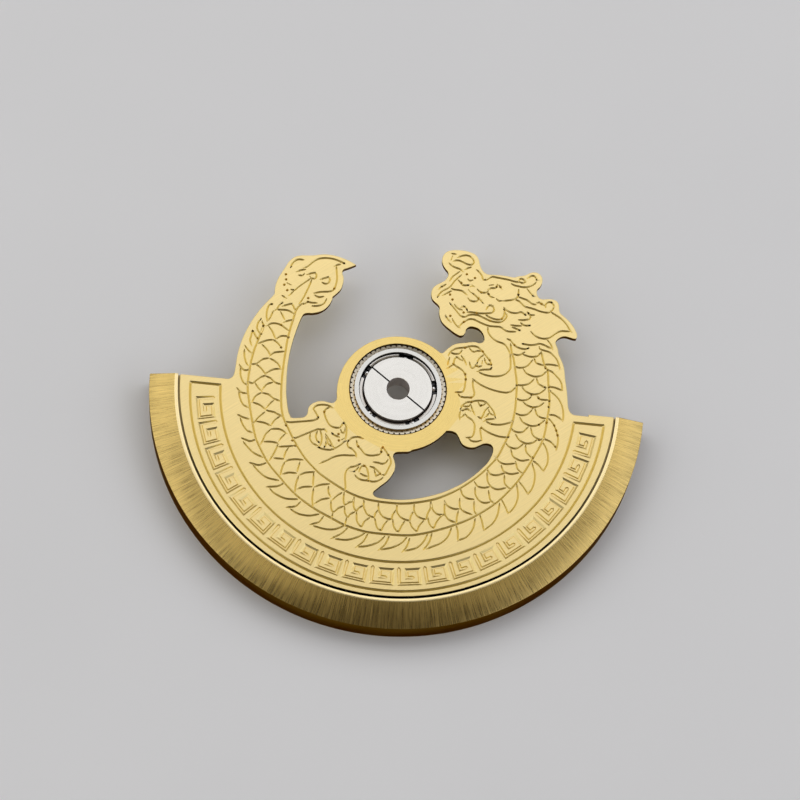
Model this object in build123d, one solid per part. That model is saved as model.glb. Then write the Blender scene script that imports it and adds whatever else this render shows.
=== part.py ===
from build123d import *
import os
from math import cos, radians, sin, sqrt

os.makedirs("parts", exist_ok=True)

# Automatic watch rotor, in mm. The bearing's axis is Z and the plate's top face is z = 0.
# The half ring of the weight hangs towards -Y, so its two ends lie on either side of X.

# Weight: a half ring with an inner ridge and a wide bevel
rotor_radius = 13.3
bevel_width = 1.38
bevel_drop = 0.44
ridge_width = 0.18
ridge_drop = 0.05
rim_height = 1.85
rim_width = 2.9
rim_end_drop = 0.33
foot_chamfer = 0.08

# Plate: a half disc that carries the dragon, the hub ring and the openings
plate_thickness = 0.3
plate_gap = 0.08
plate_end_drop = 0.38
end_step_depth = 0.1
end_step_start = 7.5
end_step_end = 10.3
hub_width = 0.68
hub_shift_x = 0.04
hub_shift_y = -0.25

# Bearing: races, balls, cage and toothed ring
bore_radius = 0.62
bore_chamfer = 0.04
inner_race_radius = 1.82
race_gap = 0.28
outer_race_width = 0.24
race_rise = 0.05
race_height = 1.1
race_chamfer = 0.03
slit_width = 0.06
slit_depth = 0.06
slit_angle = -36.0
ball_count = 5
ball_angle = 10.0
ball_radius = 0.25
ball_clearance = 0.03
track_sides = 8
cage_clearance = 0.04
cage_height = 0.76
notch_width = 0.8
notch_depth = 0.18
tooth_count = 54
tooth_depth = 0.11
tooth_ring_width = 0.26
tooth_drop = 0.08
tooth_ring_height = 0.82
seat_width = 0.12
press_gap = 0.01
plate_hole_gap = 0.02
tooth_foot_share = 0.36
tooth_tip_share = 0.14

# One overrun serves every cut, and a turn below this sine counts as straight
overrun = 1.0
straight_turn = 0.06

# Places worked out from the sizes above
ridge_outer_radius = rotor_radius - bevel_width
ridge_inner_radius = ridge_outer_radius - ridge_width
plate_radius = ridge_inner_radius - plate_gap
ridge_top = -ridge_drop
bevel_bottom = ridge_top - bevel_drop
rim_bottom = ridge_top - rim_height
race_top = race_rise
race_bottom = race_top - race_height
race_middle = (race_top + race_bottom) / 2
outer_race_bore = inner_race_radius + race_gap
outer_race_radius = outer_race_bore + outer_race_width
ball_orbit = (inner_race_radius + outer_race_bore) / 2
track_radius = ball_radius + ball_clearance
upper_tooth_tip = outer_race_radius + tooth_ring_width
lower_tooth_tip = upper_tooth_tip + seat_width
plate_hole_radius = upper_tooth_tip + plate_hole_gap
hub_radius = plate_hole_radius + hub_width

# Outline of the plate's openings and of the dragon, as shares of the plate's radius.
# Each stretch is one smooth curve that starts where the stretch before it ends.
tail_outer_shares = [
    (-0.810, -0.039), (-0.780, -0.033), (-0.761, -0.019), (-0.754, 0.007), (-0.752, 0.045),
    (-0.750, 0.088), (-0.744, 0.131), (-0.735, 0.172), (-0.722, 0.213), (-0.707, 0.251),
    (-0.690, 0.288), (-0.670, 0.324), (-0.647, 0.359), (-0.623, 0.391), (-0.609, 0.412)
]

tuft_outer_shares = [
    (-0.609, 0.453), (-0.600, 0.491), (-0.585, 0.525), (-0.571, 0.554), (-0.558, 0.581),
    (-0.536, 0.605), (-0.508, 0.617), (-0.473, 0.621), (-0.443, 0.625), (-0.416, 0.632),
    (-0.380, 0.636), (-0.337, 0.632), (-0.294, 0.620), (-0.262, 0.606), (-0.246, 0.598)
]

tuft_inner_shares = [
    (-0.264, 0.587), (-0.283, 0.577), (-0.303, 0.566), (-0.306, 0.551), (-0.298, 0.527),
    (-0.298, 0.499), (-0.306, 0.468), (-0.322, 0.446), (-0.340, 0.426)
]

tuft_lower_shares = [
    (-0.343, 0.407), (-0.352, 0.385), (-0.370, 0.361), (-0.395, 0.343), (-0.425, 0.333),
    (-0.452, 0.330), (-0.468, 0.322)
]

tail_inner_shares = [
    (-0.477, 0.298), (-0.488, 0.257), (-0.500, 0.202), (-0.509, 0.146), (-0.514, 0.088),
    (-0.515, 0.032), (-0.512, -0.026), (-0.508, -0.075), (-0.500, -0.118), (-0.490, -0.161),
    (-0.480, -0.182)
]

bay_shares = [
    (-0.549, 0.051), (-0.540, -0.103), (-0.502, -0.172), (-0.485, -0.187), (-0.467, -0.192),
    (-0.444, -0.189), (-0.418, -0.183), (-0.405, -0.169), (-0.402, -0.151), (-0.401, -0.136),
    (-0.391, -0.118), (-0.366, -0.101), (-0.337, -0.095), (-0.309, -0.099), (-0.291, -0.099),
    (-0.280, -0.088), (-0.274, -0.073), (-0.249, -0.034), (-0.249, 0.051)
]

crescent_near_shares = [
    (0.081, -0.297), (0.047, -0.305), (0.017, -0.310), (0.007, -0.319), (0.006, -0.333),
    (0.012, -0.348), (0.018, -0.371), (0.017, -0.396), (0.007, -0.422), (-0.011, -0.450),
    (-0.035, -0.474), (-0.057, -0.496), (-0.069, -0.511), (-0.067, -0.526), (-0.051, -0.535),
    (-0.023, -0.538)
]

crescent_far_shares = [
    (0.023, -0.538), (0.078, -0.533), (0.133, -0.521), (0.187, -0.504), (0.242, -0.481),
    (0.288, -0.455), (0.335, -0.423), (0.374, -0.389), (0.409, -0.351), (0.437, -0.314),
    (0.453, -0.279), (0.458, -0.251), (0.452, -0.232), (0.433, -0.224), (0.411, -0.227),
    (0.390, -0.238), (0.370, -0.249), (0.347, -0.251), (0.323, -0.243), (0.308, -0.227),
    (0.296, -0.204), (0.285, -0.189), (0.265, -0.181), (0.242, -0.181), (0.223, -0.188),
    (0.207, -0.203), (0.184, -0.197), (0.116, -0.249)
]

lobe_shares = [
    (0.167, 0.206), (0.180, 0.200), (0.192, 0.202), (0.202, 0.213), (0.214, 0.227),
    (0.234, 0.245), (0.257, 0.256), (0.288, 0.262), (0.312, 0.268), (0.335, 0.271),
    (0.358, 0.268), (0.372, 0.276), (0.377, 0.292), (0.369, 0.316), (0.354, 0.334),
    (0.331, 0.344), (0.306, 0.344), (0.291, 0.333), (0.286, 0.313), (0.278, 0.299),
    (0.262, 0.294)
]

head_shares = [
    (0.240, 0.304), (0.215, 0.321), (0.192, 0.338), (0.175, 0.355), (0.164, 0.377),
    (0.158, 0.403), (0.158, 0.427), (0.149, 0.440), (0.136, 0.450), (0.123, 0.463),
    (0.116, 0.479), (0.114, 0.499), (0.119, 0.519), (0.133, 0.536), (0.153, 0.550),
    (0.171, 0.563), (0.182, 0.581), (0.186, 0.596), (0.182, 0.610), (0.169, 0.625),
    (0.157, 0.643), (0.151, 0.665), (0.154, 0.688), (0.167, 0.708), (0.190, 0.720),
    (0.221, 0.725), (0.255, 0.725), (0.284, 0.719), (0.307, 0.708), (0.321, 0.688),
    (0.328, 0.665), (0.338, 0.642), (0.352, 0.625), (0.370, 0.617), (0.395, 0.618),
    (0.426, 0.619), (0.466, 0.617), (0.491, 0.615), (0.513, 0.623), (0.535, 0.628),
    (0.551, 0.636), (0.569, 0.647), (0.591, 0.651), (0.611, 0.643), (0.623, 0.627),
    (0.625, 0.605), (0.617, 0.582), (0.605, 0.566), (0.603, 0.549), (0.611, 0.529),
    (0.627, 0.519), (0.648, 0.521), (0.673, 0.524), (0.696, 0.518), (0.709, 0.502),
    (0.713, 0.478), (0.719, 0.459), (0.738, 0.443), (0.763, 0.422), (0.786, 0.395),
    (0.800, 0.370), (0.805, 0.352), (0.800, 0.337)
]

nape_shares = [
    (0.789, 0.336), (0.770, 0.340), (0.747, 0.343), (0.727, 0.336), (0.712, 0.322),
    (0.708, 0.307), (0.714, 0.292), (0.721, 0.274), (0.724, 0.257), (0.734, 0.235),
    (0.747, 0.209), (0.757, 0.177), (0.763, 0.137), (0.771, 0.098), (0.778, 0.060),
    (0.782, 0.026), (0.787, -0.005), (0.796, -0.027), (0.811, -0.039), (0.836, -0.042)
]

tail_root_shares = [(-0.455, -0.240), (-0.789, -0.094)]
body_root_shares = [(0.789, -0.103), (0.129, -0.129), (0.133, 0.163)]


def polar(radius, angle):
    return radius * cos(radians(angle)), radius * sin(radians(angle))


def headings(points):
    """The direction of travel at each point, level with the chord between its two neighbours."""
    inner = [(after - before).normalized() for before, after in zip(points, points[2:])]
    first_chord = (points[1] - points[0]).normalized()
    last_chord = (points[-1] - points[-2]).normalized()
    first = first_chord * 2 * first_chord.dot(inner[0]) - inner[0]
    last = last_chord * 2 * last_chord.dot(inner[-1]) - inner[-1]
    return [first] + inner + [last]


def tangent_edge(start, end, heading):
    """An arc that leaves its start along the heading, or a line where there is no turn."""
    turn = (end - start).normalized().cross(heading).length
    return Line(start, end) if turn < straight_turn else TangentArc(start, end, tangent=heading)


def biarc(start, end, start_heading, end_heading):
    """Two arcs that meet smoothly between two points with a heading each."""
    chord = end - start
    along = chord.dot(start_heading + end_heading)
    spread = 2 * (1 - start_heading.dot(end_heading))
    if spread < straight_turn ** 2:
        reach = chord.dot(chord) / (2 * along)
    else:
        reach = (sqrt(along ** 2 + spread * chord.dot(chord)) - along) / spread
    middle = (start + end + (start_heading - end_heading) * reach) / 2
    second = tangent_edge(end, middle, end_heading * -1)
    return [tangent_edge(start, middle, start_heading), second]


def curved_face(*stretches):
    """A face with one smooth curve per stretch, or a straight line where a stretch has one point."""
    edges = []
    last = stretches[-1][-1]
    for stretch in stretches:
        points = [Vector(plate_radius * x, plate_radius * y) for x, y in [last] + stretch]
        last = stretch[-1]
        if len(points) == 2:
            edges.append(Line(*points))
            continue
        course = headings(points)
        for number in range(len(points) - 1):
            edges += biarc(points[number], points[number + 1], course[number], course[number + 1])
    return make_face(edges)


def corners(shares):
    """The stretches of a plain polygon: one straight line to each point."""
    return [[share] for share in shares]


def half_plane(height):
    """A rectangle that covers everything above the given height."""
    reach = rotor_radius + overrun
    return Pos(0, height + reach / 2) * Rectangle(2 * reach, reach)


def half_disc():
    """The plate's plain part, cut off along a straight end line that is a step lower on the right."""
    step_middle = (end_step_start + end_step_end) / 2
    step = Rectangle(end_step_end - end_step_start, 2 * end_step_depth)
    disc = Circle(plate_radius) - half_plane(-plate_end_drop)
    return disc - Pos(step_middle, -plate_end_drop) * step


def dragon_plate():
    tail = curved_face(*corners(tail_root_shares), tail_outer_shares, tuft_outer_shares,
                       tuft_inner_shares, tuft_lower_shares, tail_inner_shares)
    front = curved_face(lobe_shares, head_shares, nape_shares, *corners(body_root_shares))
    bay = curved_face(*corners(bay_shares[:1]), bay_shares[1:])
    crescent = curved_face(crescent_near_shares, crescent_far_shares)
    hub = Pos(hub_shift_x, hub_shift_y) * Circle(hub_radius)
    outline = half_disc() - bay - crescent + tail + front + hub - Circle(plate_hole_radius)
    return Pos(0, 0, -plate_thickness) * extrude(outline, amount=plate_thickness)


def rim_weight():
    """Section of the half ring: underside, side wall, bevel, ridge and the ledge for the plate."""
    inner_radius = rotor_radius - rim_width
    section = make_face(Polyline(
        (inner_radius, rim_bottom),
        (rotor_radius - foot_chamfer, rim_bottom),
        (rotor_radius, rim_bottom + foot_chamfer),
        (rotor_radius, bevel_bottom),
        (ridge_outer_radius, ridge_top),
        (ridge_inner_radius, ridge_top),
        (ridge_inner_radius, -plate_thickness),
        (inner_radius, -plate_thickness),
        close=True,
    ))
    ring = revolve(Plane.XZ * section, Axis.Z)
    depth = rim_height + 2 * overrun
    away = Pos(0, 0, rim_bottom - overrun) * extrude(half_plane(-rim_end_drop), amount=depth)
    return ring - away


def ring_section(inner_radius, outer_radius, bottom, top):
    """Half section of a plain ring, drawn in the XZ plane."""
    width = outer_radius - inner_radius
    height = top - bottom
    middle = Pos(inner_radius + width / 2, bottom + height / 2)
    return Plane.XZ * (middle * Rectangle(width, height))


def ball_track():
    """The ring-shaped track that the balls run in, with flat flanks, cut from both races."""
    section = RegularPolygon(track_radius, track_sides, major_radius=False, rotation=180 / track_sides)
    return revolve(Plane.XZ * (Pos(ball_orbit, race_middle) * section), Axis.Z)


def race_ring():
    section = ring_section(outer_race_bore, outer_race_radius, race_bottom, race_top)
    ring = revolve(section, Axis.Z)
    ring = chamfer(ring.edges().group_by(Axis.Z)[-1], race_chamfer)
    return ring - ball_track()


def inner_race_top():
    section = ring_section(bore_radius, inner_race_radius, race_middle, race_top)
    disc = revolve(section, Axis.Z)
    upper_edges = disc.edges().group_by(Axis.Z)[-1].sort_by(SortBy.RADIUS)
    disc = chamfer(upper_edges[0], bore_chamfer)
    slit = Box(2 * (inner_race_radius + overrun), slit_width, 2 * slit_depth)
    return disc - ball_track() - Pos(0, 0, race_top) * Rot(0, 0, slit_angle) * slit


def inner_race_bottom():
    section = ring_section(bore_radius, inner_race_radius, race_bottom, race_middle)
    return revolve(section, Axis.Z) - ball_track()


def toothed_face(tip_radius):
    pitch = 360 / tooth_count
    root_radius = tip_radius - tooth_depth
    tooth_profile = [(-tooth_foot_share, root_radius), (-tooth_tip_share, tip_radius),
                     (tooth_tip_share, tip_radius), (tooth_foot_share, root_radius)]
    points = []
    for tooth in range(tooth_count):
        for turn_share, radius in tooth_profile:
            points.append(polar(radius, (tooth + turn_share) * pitch))
    return make_face(Polyline(*points, close=True)) - Circle(outer_race_radius + press_gap)


def toothed_ring():
    """Teeth pressed in the plate's hole above, and a wider row below that the plate sits on."""
    upper_height = plate_thickness - tooth_drop
    upper = Pos(0, 0, -plate_thickness) * extrude(toothed_face(upper_tooth_tip), amount=upper_height)
    lower_height = tooth_ring_height - upper_height
    lower_place = Pos(0, 0, -plate_thickness - lower_height)
    return upper + lower_place * extrude(toothed_face(lower_tooth_tip), amount=lower_height)


def ball_place(number):
    angle = ball_angle + number * 360 / ball_count
    return Rot(0, 0, angle) * Pos(ball_orbit, 0, race_middle)


def ball_cage():
    """A thin ring with a round pocket for each ball, open upwards through a wider notch."""
    inner_radius = inner_race_radius + cage_clearance
    outer_radius = outer_race_bore - cage_clearance
    half_height = cage_height / 2
    section = ring_section(inner_radius, outer_radius, race_middle - half_height,
                           race_middle + half_height)
    cage = revolve(section, Axis.Z)
    pocket = Rot(0, 90, 0) * Cylinder(track_radius, 2 * race_gap)
    notch = Pos(0, 0, half_height) * Box(2 * race_gap, notch_width, 2 * notch_depth)
    for number in range(ball_count):
        cage -= ball_place(number) * pocket
        cage -= ball_place(number) * notch
    return cage


def save(solid, name):
    export_step(solid, f"parts/{name}.step")
    print(name, round(solid.volume, 4), len(solid.solids()))


save(dragon_plate(), "dragon_plate")
save(rim_weight(), "rim_weight")
save(toothed_ring(), "toothed_ring")
save(race_ring(), "race_ring")
save(inner_race_top(), "inner_race_top")
save(inner_race_bottom(), "inner_race_bottom")
save(ball_cage(), "ball_cage")
for ball_number in range(ball_count):
    save(ball_place(ball_number) * Sphere(ball_radius), f"ball_{ball_number + 1}")
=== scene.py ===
import math

import bmesh
import bpy
import numpy as np
from mathutils import Matrix, Vector
from mathutils.geometry import delaunay_2d_cdt


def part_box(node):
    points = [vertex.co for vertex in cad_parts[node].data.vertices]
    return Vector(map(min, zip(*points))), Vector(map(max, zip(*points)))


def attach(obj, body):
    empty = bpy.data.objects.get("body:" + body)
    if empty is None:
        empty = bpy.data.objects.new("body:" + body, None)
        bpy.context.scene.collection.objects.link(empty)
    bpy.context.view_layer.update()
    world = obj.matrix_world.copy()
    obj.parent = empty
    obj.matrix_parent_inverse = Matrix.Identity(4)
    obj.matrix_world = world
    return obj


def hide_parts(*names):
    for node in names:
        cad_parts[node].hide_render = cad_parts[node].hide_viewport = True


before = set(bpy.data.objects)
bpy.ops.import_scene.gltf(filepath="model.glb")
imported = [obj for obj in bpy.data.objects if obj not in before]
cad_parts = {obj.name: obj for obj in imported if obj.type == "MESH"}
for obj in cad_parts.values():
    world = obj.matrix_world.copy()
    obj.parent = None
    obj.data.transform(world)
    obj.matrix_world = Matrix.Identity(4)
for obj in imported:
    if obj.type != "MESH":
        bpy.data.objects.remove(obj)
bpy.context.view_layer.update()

# Automatic watch rotor. Sizes are in millimetres and angles in degrees, and every mesh is made in metres.
MM = 0.001

# Plate
plate_bottom = (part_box("dragon_plate")[0] / MM).z
plate_edge = 0.018
art_centre = (0.04, -0.25)
hub_circle = 3.3
seam_radius = 11.6

# Engraved lines and tool marks: half widths, slopes of the sides, and the tapered ends
fine_line = 0.058
border_line = 0.066
panel_line = 0.074
fret_line = 0.1
line_slope = 1.0
slot_slope = 1.6
slot_floor = 0.075
line_step = 0.09
line_taper = 0.07
line_reach = 0.05
taper_share = 0.6
pit_radius = 0.075
pit_sides = 10
pit_depth_share = 2.4

# Curved panel under the dragon, and the key pattern in it
panel_inner_radius = 9.515
panel_outer_radius = 11.125
panel_left_level = -0.77
panel_right_level = -0.92
arc_step = 0.12
fret_inner_radius = 9.89
fret_height = 0.84
fret_units = 21
fret_margin = 6.5
fret_start_share = 0.12
fret_width_share = 0.76
fret_unit_shares = [(0.0, 0.0), (0.0, 1.0), (1.0, 1.0), (1.0, 0.08), (0.38, 0.08), (0.38, 0.58),
                    (0.68, 0.58)]

# Rim weight
rim_low, rim_high = (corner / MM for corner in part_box("rim_weight"))
rotor_radius = 13.3
rim_width = 2.9
bevel_width = 1.38
bevel_drop = 0.44
ridge_width = 0.155
foot_chamfer = 0.08
rim_edge = 0.03
rim_steps = 420
rim_soft_width = 0.02
rim_soft_angle = 50

# Bearing races
race_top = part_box("race_ring")[1].z / MM
race_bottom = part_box("race_ring")[0].z / MM
race_middle = (race_top + race_bottom) / 2
bore_radius = 0.62
inner_race_radius = 1.82
outer_race_bore = 2.1
outer_race_radius = 2.34
ball_orbit = (inner_race_radius + outer_race_bore) / 2
track_radius = 0.28
track_sides = 8
race_edge = 0.02
slit_width = 0.085
slit_depth = 0.12
slit_angle = -36.0

# Cage: its top falls towards the axis from a crest to a crown
cage_lean = 14.0
cage_crest = 2.0
cage_crown = 1.91
cage_shoulder = 0.1
cage_overrun = 0.02

# Toothed ring
tooth_count = 54
tooth_depth = 0.09
tooth_foot_share = 0.44
tooth_tip_share = 0.3
tooth_chamfer = 0.04
tooth_chamfer_drop = 0.1
tooth_ring_dish = 0.04
bore_notch_depth = 0.09
bore_notch_height = 0.2
bore_notch_share = 0.22
seat_width = 0.12
press_gap = 0.01

# Meshes: steps round a full turn, edges that stay sharp, and points that count as one
ring_steps = 160
turned_edge = 12
softened_edge = 30
round_share = 0.29
merge_gap = 0.0005
same_point = 0.004
least_corner = 0.6
least_mitre = 0.5
top_tolerance = 1e-5
underside_tolerance = 1e-6

# Where one paint on a piece ends and the next begins
paint_margin = 0.01
level_face = 0.9
rim_wall_lean = 0.5
plate_wall_lean = 0.3
ridge_skin = 0.02
seam_drop = 0.05
track_paint_drop = 0.05
outer_track_paint = 0.1
inner_track_paint = 0.12
race_wall_depth = 0.3
race_lip = 0.015

# Brushing: how fast the grain and the broad clouds run, and how far they change the metal
grain_low = 0.3
grain_high = 0.7
grain_detail = 3.0
noise_detail = 2.0
noise_roughness = 0.6
light_grain = 1.04
smoother = 0.05
straight_along = 0.55
straight_across = 22.0
straight_dark = 0.88
straight_rougher = 0.06
straight_relief = 0.35
straight_relief_depth = 0.004
cloud_along = 0.25
cloud_across = 0.9
cloud_height = 4.0
cloud_share = 0.35
cloud_dark = 0.9
# Faces steeper than these normals get the painted shade of the engraved lines' walls
steep_normal = 0.72
flat_normal = 0.97
turned_height = 1.5
turned_rougher = 0.07
turned_relief_depth = 0.006
patch_turn = 3.0
patch_out = 0.4
patch_height = 1.0
patch_low = 0.35
patch_high = 0.65

# Painted shade in the seam between the plate and the rim: dark below its low level, light above its high
# level
seam_low_level = -9.0
seam_high_level = -2.0
seam_grain = 5.0
seam_grain_share = 0.25
seam_roughness = 0.45

# Camera, as in the photograph. Names with photo or part are in its pixels, and near and far in metres.
camera_elevation = 68.498
camera_roll = -9.425
camera_turn = -4.0
camera_distance = 190.0
camera_near = 0.005
camera_far = 20.0
photo_size = 800
photo_focus = 3548.96
part_column = 398.047
part_row = 389.018
sensor = 36.0

# Floor, lamps and world. The lamps' distance is in metres.
floor_reach = 2000.0
floor_gap = 0.01
floor_mottle = 0.06
floor_roughness = 0.9
floor_gloss = 0.1
floor_dark = (0.82, 0.825, 0.845)
floor_light = (0.86, 0.865, 0.885)
white = (1.0, 1.0, 1.0)
cool_white = (0.98, 1.02, 1.15)
warm_white = (1.0, 0.92, 0.7)
world_colour = (1.0, 0.87, 0.68)
world_strength = 0.10
lamp_distance = 0.5

# Each lamp: tilt from straight up, turn about Z, width and depth in metres, brightness, colour
lamps = {
    "back_softbox": (37.0, 0.0, 1.0, 0.46, 1.04, white),
    "left_softbox": (66.0, 98.0, 0.78, 0.42, 0.95, white),
    "right_softbox": (66.0, -98.0, 0.78, 0.42, 1.0, cool_white),
    "left_fill": (35.0, 92.0, 0.34, 0.26, 0.45, white),
    "right_fill": (38.0, -90.0, 0.3, 0.24, 0.36, white),
    "left_front_fill": (22.0, 120.0, 0.16, 0.14, 0.62, warm_white),
    "right_front_fill": (22.0, -120.0, 0.16, 0.14, 0.34, warm_white),
}


# Meshes
def link(name, mesh, *materials):
    """A new object from a mesh, with its materials."""
    piece = bpy.data.objects.new(name, mesh)
    bpy.context.scene.collection.objects.link(piece)
    for material in materials:
        mesh.materials.append(material)
    return piece


def mesh_piece(name, points, faces, *materials):
    """A mesh object from points in millimetres."""
    mesh = bpy.data.meshes.new(name)
    mesh.from_pydata([tuple(c * MM for c in p) for p in points], [], faces)
    mesh.update()
    return link(name, mesh, *materials)


def smooth_below(piece, degrees):
    """Smooth shading, with an edge kept sharp where its faces turn by more than the given angle."""
    piece.data.polygons.foreach_set("use_smooth", [True] * len(piece.data.polygons))
    piece.data.set_sharp_from_angle(angle=math.radians(degrees))


def apply_modifiers(piece):
    """The piece's mesh with its modifiers worked in."""
    bpy.context.view_layer.update()
    graph = bpy.context.evaluated_depsgraph_get()
    shaped = bpy.data.meshes.new_from_object(piece.evaluated_get(graph))
    piece.modifiers.clear()
    piece.data = shaped


def soften(piece, width, degrees):
    """A tiny chamfer, shaded smooth, on every edge that turns by more than the given angle."""
    bevel = piece.modifiers.new("edges", "BEVEL")
    bevel.width = width * MM
    bevel.segments = 1
    bevel.limit_method = "ANGLE"
    bevel.angle_limit = math.radians(degrees)
    bevel.harden_normals = False
    apply_modifiers(piece)
    smooth_below(piece, softened_edge)


def carve(piece, cutter):
    """The piece less the cutter, which is then deleted."""
    cut = piece.modifiers.new("cut", "BOOLEAN")
    cut.operation = "DIFFERENCE"
    cut.solver = "EXACT"
    cut.object = cutter
    apply_modifiers(piece)
    bpy.data.objects.remove(cutter)
    smooth_below(piece, turned_edge)


def outward(piece):
    """Coinciding points merged, and all faces turned to look outward."""
    work = bmesh.new()
    work.from_mesh(piece.data)
    bmesh.ops.remove_doubles(work, verts=work.verts, dist=merge_gap * MM)
    bmesh.ops.recalc_face_normals(work, faces=work.faces)
    work.to_mesh(piece.data)
    work.free()


def sweep(name, rings, closed, *materials):
    """A solid through equal rings of points, closed round on itself or capped at both ends."""
    count = len(rings[0])
    points = [point for ring in rings for point in ring]
    faces = []
    for step in range(len(rings) if closed else len(rings) - 1):
        here, there = step * count, (step + 1) % len(rings) * count
        for k in range(count):
            n = (k + 1) % count
            faces.append((here + k, there + k, there + n, here + n))
    if not closed:
        faces.append(tuple(range(count)))
        faces.append(tuple(len(points) - 1 - k for k in range(count)))
    piece = mesh_piece(name, points, faces, *materials)
    outward(piece)
    smooth_below(piece, turned_edge)
    return piece


def polar_ring(section, turn):
    """A section of (radius, height) points at an angle round Z."""
    return [(r * math.cos(turn), r * math.sin(turn), z) for r, z in section]


def revolve(name, section, *materials):
    """A closed section of (radius, height) points turned fully round Z."""
    rings = [polar_ring(section, 2 * math.pi * step / ring_steps) for step in range(ring_steps)]
    return sweep(name, rings, True, *materials)


def rounded(section, size, corners):
    """The section with the listed corners cut by a small three-point rounding."""
    out = []
    count = len(section)
    for k, point in enumerate(section):
        if k not in corners:
            out.append(point)
            continue
        here = Vector(point)
        before = (Vector(section[k - 1]) - here).normalized() * size
        after = (Vector(section[(k + 1) % count]) - here).normalized() * size
        out.append(tuple(here + before))
        out.append(tuple(here + (before + after) * round_share))
        out.append(tuple(here + after))
    return out


def repaint(piece, material, chosen):
    """Another material on the faces for which chosen(centre, normal) holds."""
    piece.data.materials.append(material)
    last = len(piece.data.materials) - 1
    for face in piece.data.polygons:
        if chosen(face.center / MM, face.normal):
            face.material_index = last


# Materials
def shade(colour, factor=1.0):
    """The colour made lighter or darker by a factor, with full alpha."""
    return tuple(channel * factor for channel in colour) + (1.0,)


class Nodes:
    """A short way to build a procedural material."""

    def __init__(self, name):
        self.material = bpy.data.materials.new(name)
        self.material.use_nodes = True
        self.tree = self.material.node_tree
        self.shader = self.tree.nodes["Principled BSDF"]

    def add(self, kind, **inputs):
        """A new node. An input is given by its name, or by its number as i0, i1 and so on."""
        node = self.tree.nodes.new(kind)
        for key, value in inputs.items():
            self.set(node, key, value)
        return node

    def set(self, node, key, value):
        """A link into the node's input where the value is a socket, and otherwise a fixed value."""
        socket = node.inputs[int(key[1:])] if key[1:].isdigit() else node.inputs[key.replace("_", " ")]
        if isinstance(value, bpy.types.NodeSocket):
            self.tree.links.new(value, socket)
        else:
            socket.default_value = value

    def math(self, operation, first, second=0.0):
        node = self.add("ShaderNodeMath", i0=first, i1=second)
        node.operation = operation
        return node.outputs[0]

    def plus(self, first, second):
        return self.math("ADD", first, second)

    def times(self, first, second):
        return self.math("MULTIPLY", first, second)

    def mix(self, share, first, second):
        node = self.tree.nodes.new("ShaderNodeMix")
        node.data_type = "RGBA"
        for key, value in (("i0", share), ("i6", first), ("i7", second)):
            self.set(node, key, value)
        return node.outputs[2]

    def place(self):
        """The place on the part in millimetres, as three sockets."""
        where = self.tree.nodes.new("ShaderNodeTexCoord").outputs["Object"]
        scaled = self.add("ShaderNodeVectorMath", i0=where)
        scaled.operation = "SCALE"
        scaled.inputs["Scale"].default_value = 1 / MM
        return tuple(self.add("ShaderNodeSeparateXYZ", i0=scaled.outputs[0]).outputs)

    def noise(self, x, y, z, detail=noise_detail):
        vector = self.add("ShaderNodeCombineXYZ", i0=x, i1=y, i2=z).outputs[0]
        node = self.add("ShaderNodeTexNoise", Vector=vector, Scale=1.0, Detail=detail,
                        Roughness=noise_roughness)
        return node.outputs["Fac"]

    def ramp(self, value, low, high, out_low, out_high):
        node = self.add("ShaderNodeMapRange", Value=value)
        limits = {"From Min": low, "From Max": high, "To Min": out_low, "To Max": out_high}
        for key, number in limits.items():
            node.inputs[key].default_value = number
        return node.outputs[0]

    def spread(self, grain, out_low=0.0, out_high=1.0):
        """The middle of a noise stretched between two values."""
        return self.ramp(grain, grain_low, grain_high, out_low, out_high)

    def bump(self, height, strength, distance):
        node = self.add("ShaderNodeBump", Height=height, Strength=strength, Distance=distance * MM)
        self.tree.links.new(node.outputs[0], self.shader.inputs["Normal"])

    def metal(self, colour, roughness, edge_tint=None):
        """The finished material, as a metal. The edge tint colours what it mirrors at a grazing angle."""
        self.set(self.shader, "Base Color", colour)
        self.set(self.shader, "Metallic", 1.0)
        self.set(self.shader, "Roughness", roughness)
        if edge_tint:
            self.set(self.shader, "Specular Tint", shade(edge_tint))
        return self.material


def straight_brushed(name, colour, painted_wall_shade, angle, roughness):
    """Satin metal with fine straight brushing, and painted shade on the walls of the engraved lines."""
    n = Nodes(name)
    x, y, z = n.place()
    c, s = math.cos(math.radians(angle)), math.sin(math.radians(angle))
    along = n.plus(n.times(x, c), n.times(y, s))
    across = n.plus(n.times(x, -s), n.times(y, c))
    fine = n.noise(n.times(along, straight_along), n.times(across, straight_across), z, grain_detail)
    broad = n.noise(n.times(along, cloud_along), n.times(across, cloud_across), cloud_height)
    tone = n.mix(n.spread(fine), shade(colour, straight_dark), shade(colour, light_grain))
    tone = n.mix(n.spread(broad, 0.0, cloud_share), tone, shade(colour, cloud_dark))
    # Painted shade: steep faces, the walls of the engraved lines, get the darker wall colour
    normal = n.tree.nodes.new("ShaderNodeNewGeometry").outputs["True Normal"]
    upright = n.add("ShaderNodeSeparateXYZ", i0=normal).outputs[2]
    wall = n.ramp(upright, steep_normal, flat_normal, 1.0, 0.0)
    n.bump(fine, straight_relief, straight_relief_depth)
    grain = n.spread(fine, roughness - smoother, roughness + straight_rougher)
    return n.metal(n.mix(wall, tone, shade(painted_wall_shade)), grain)


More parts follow.
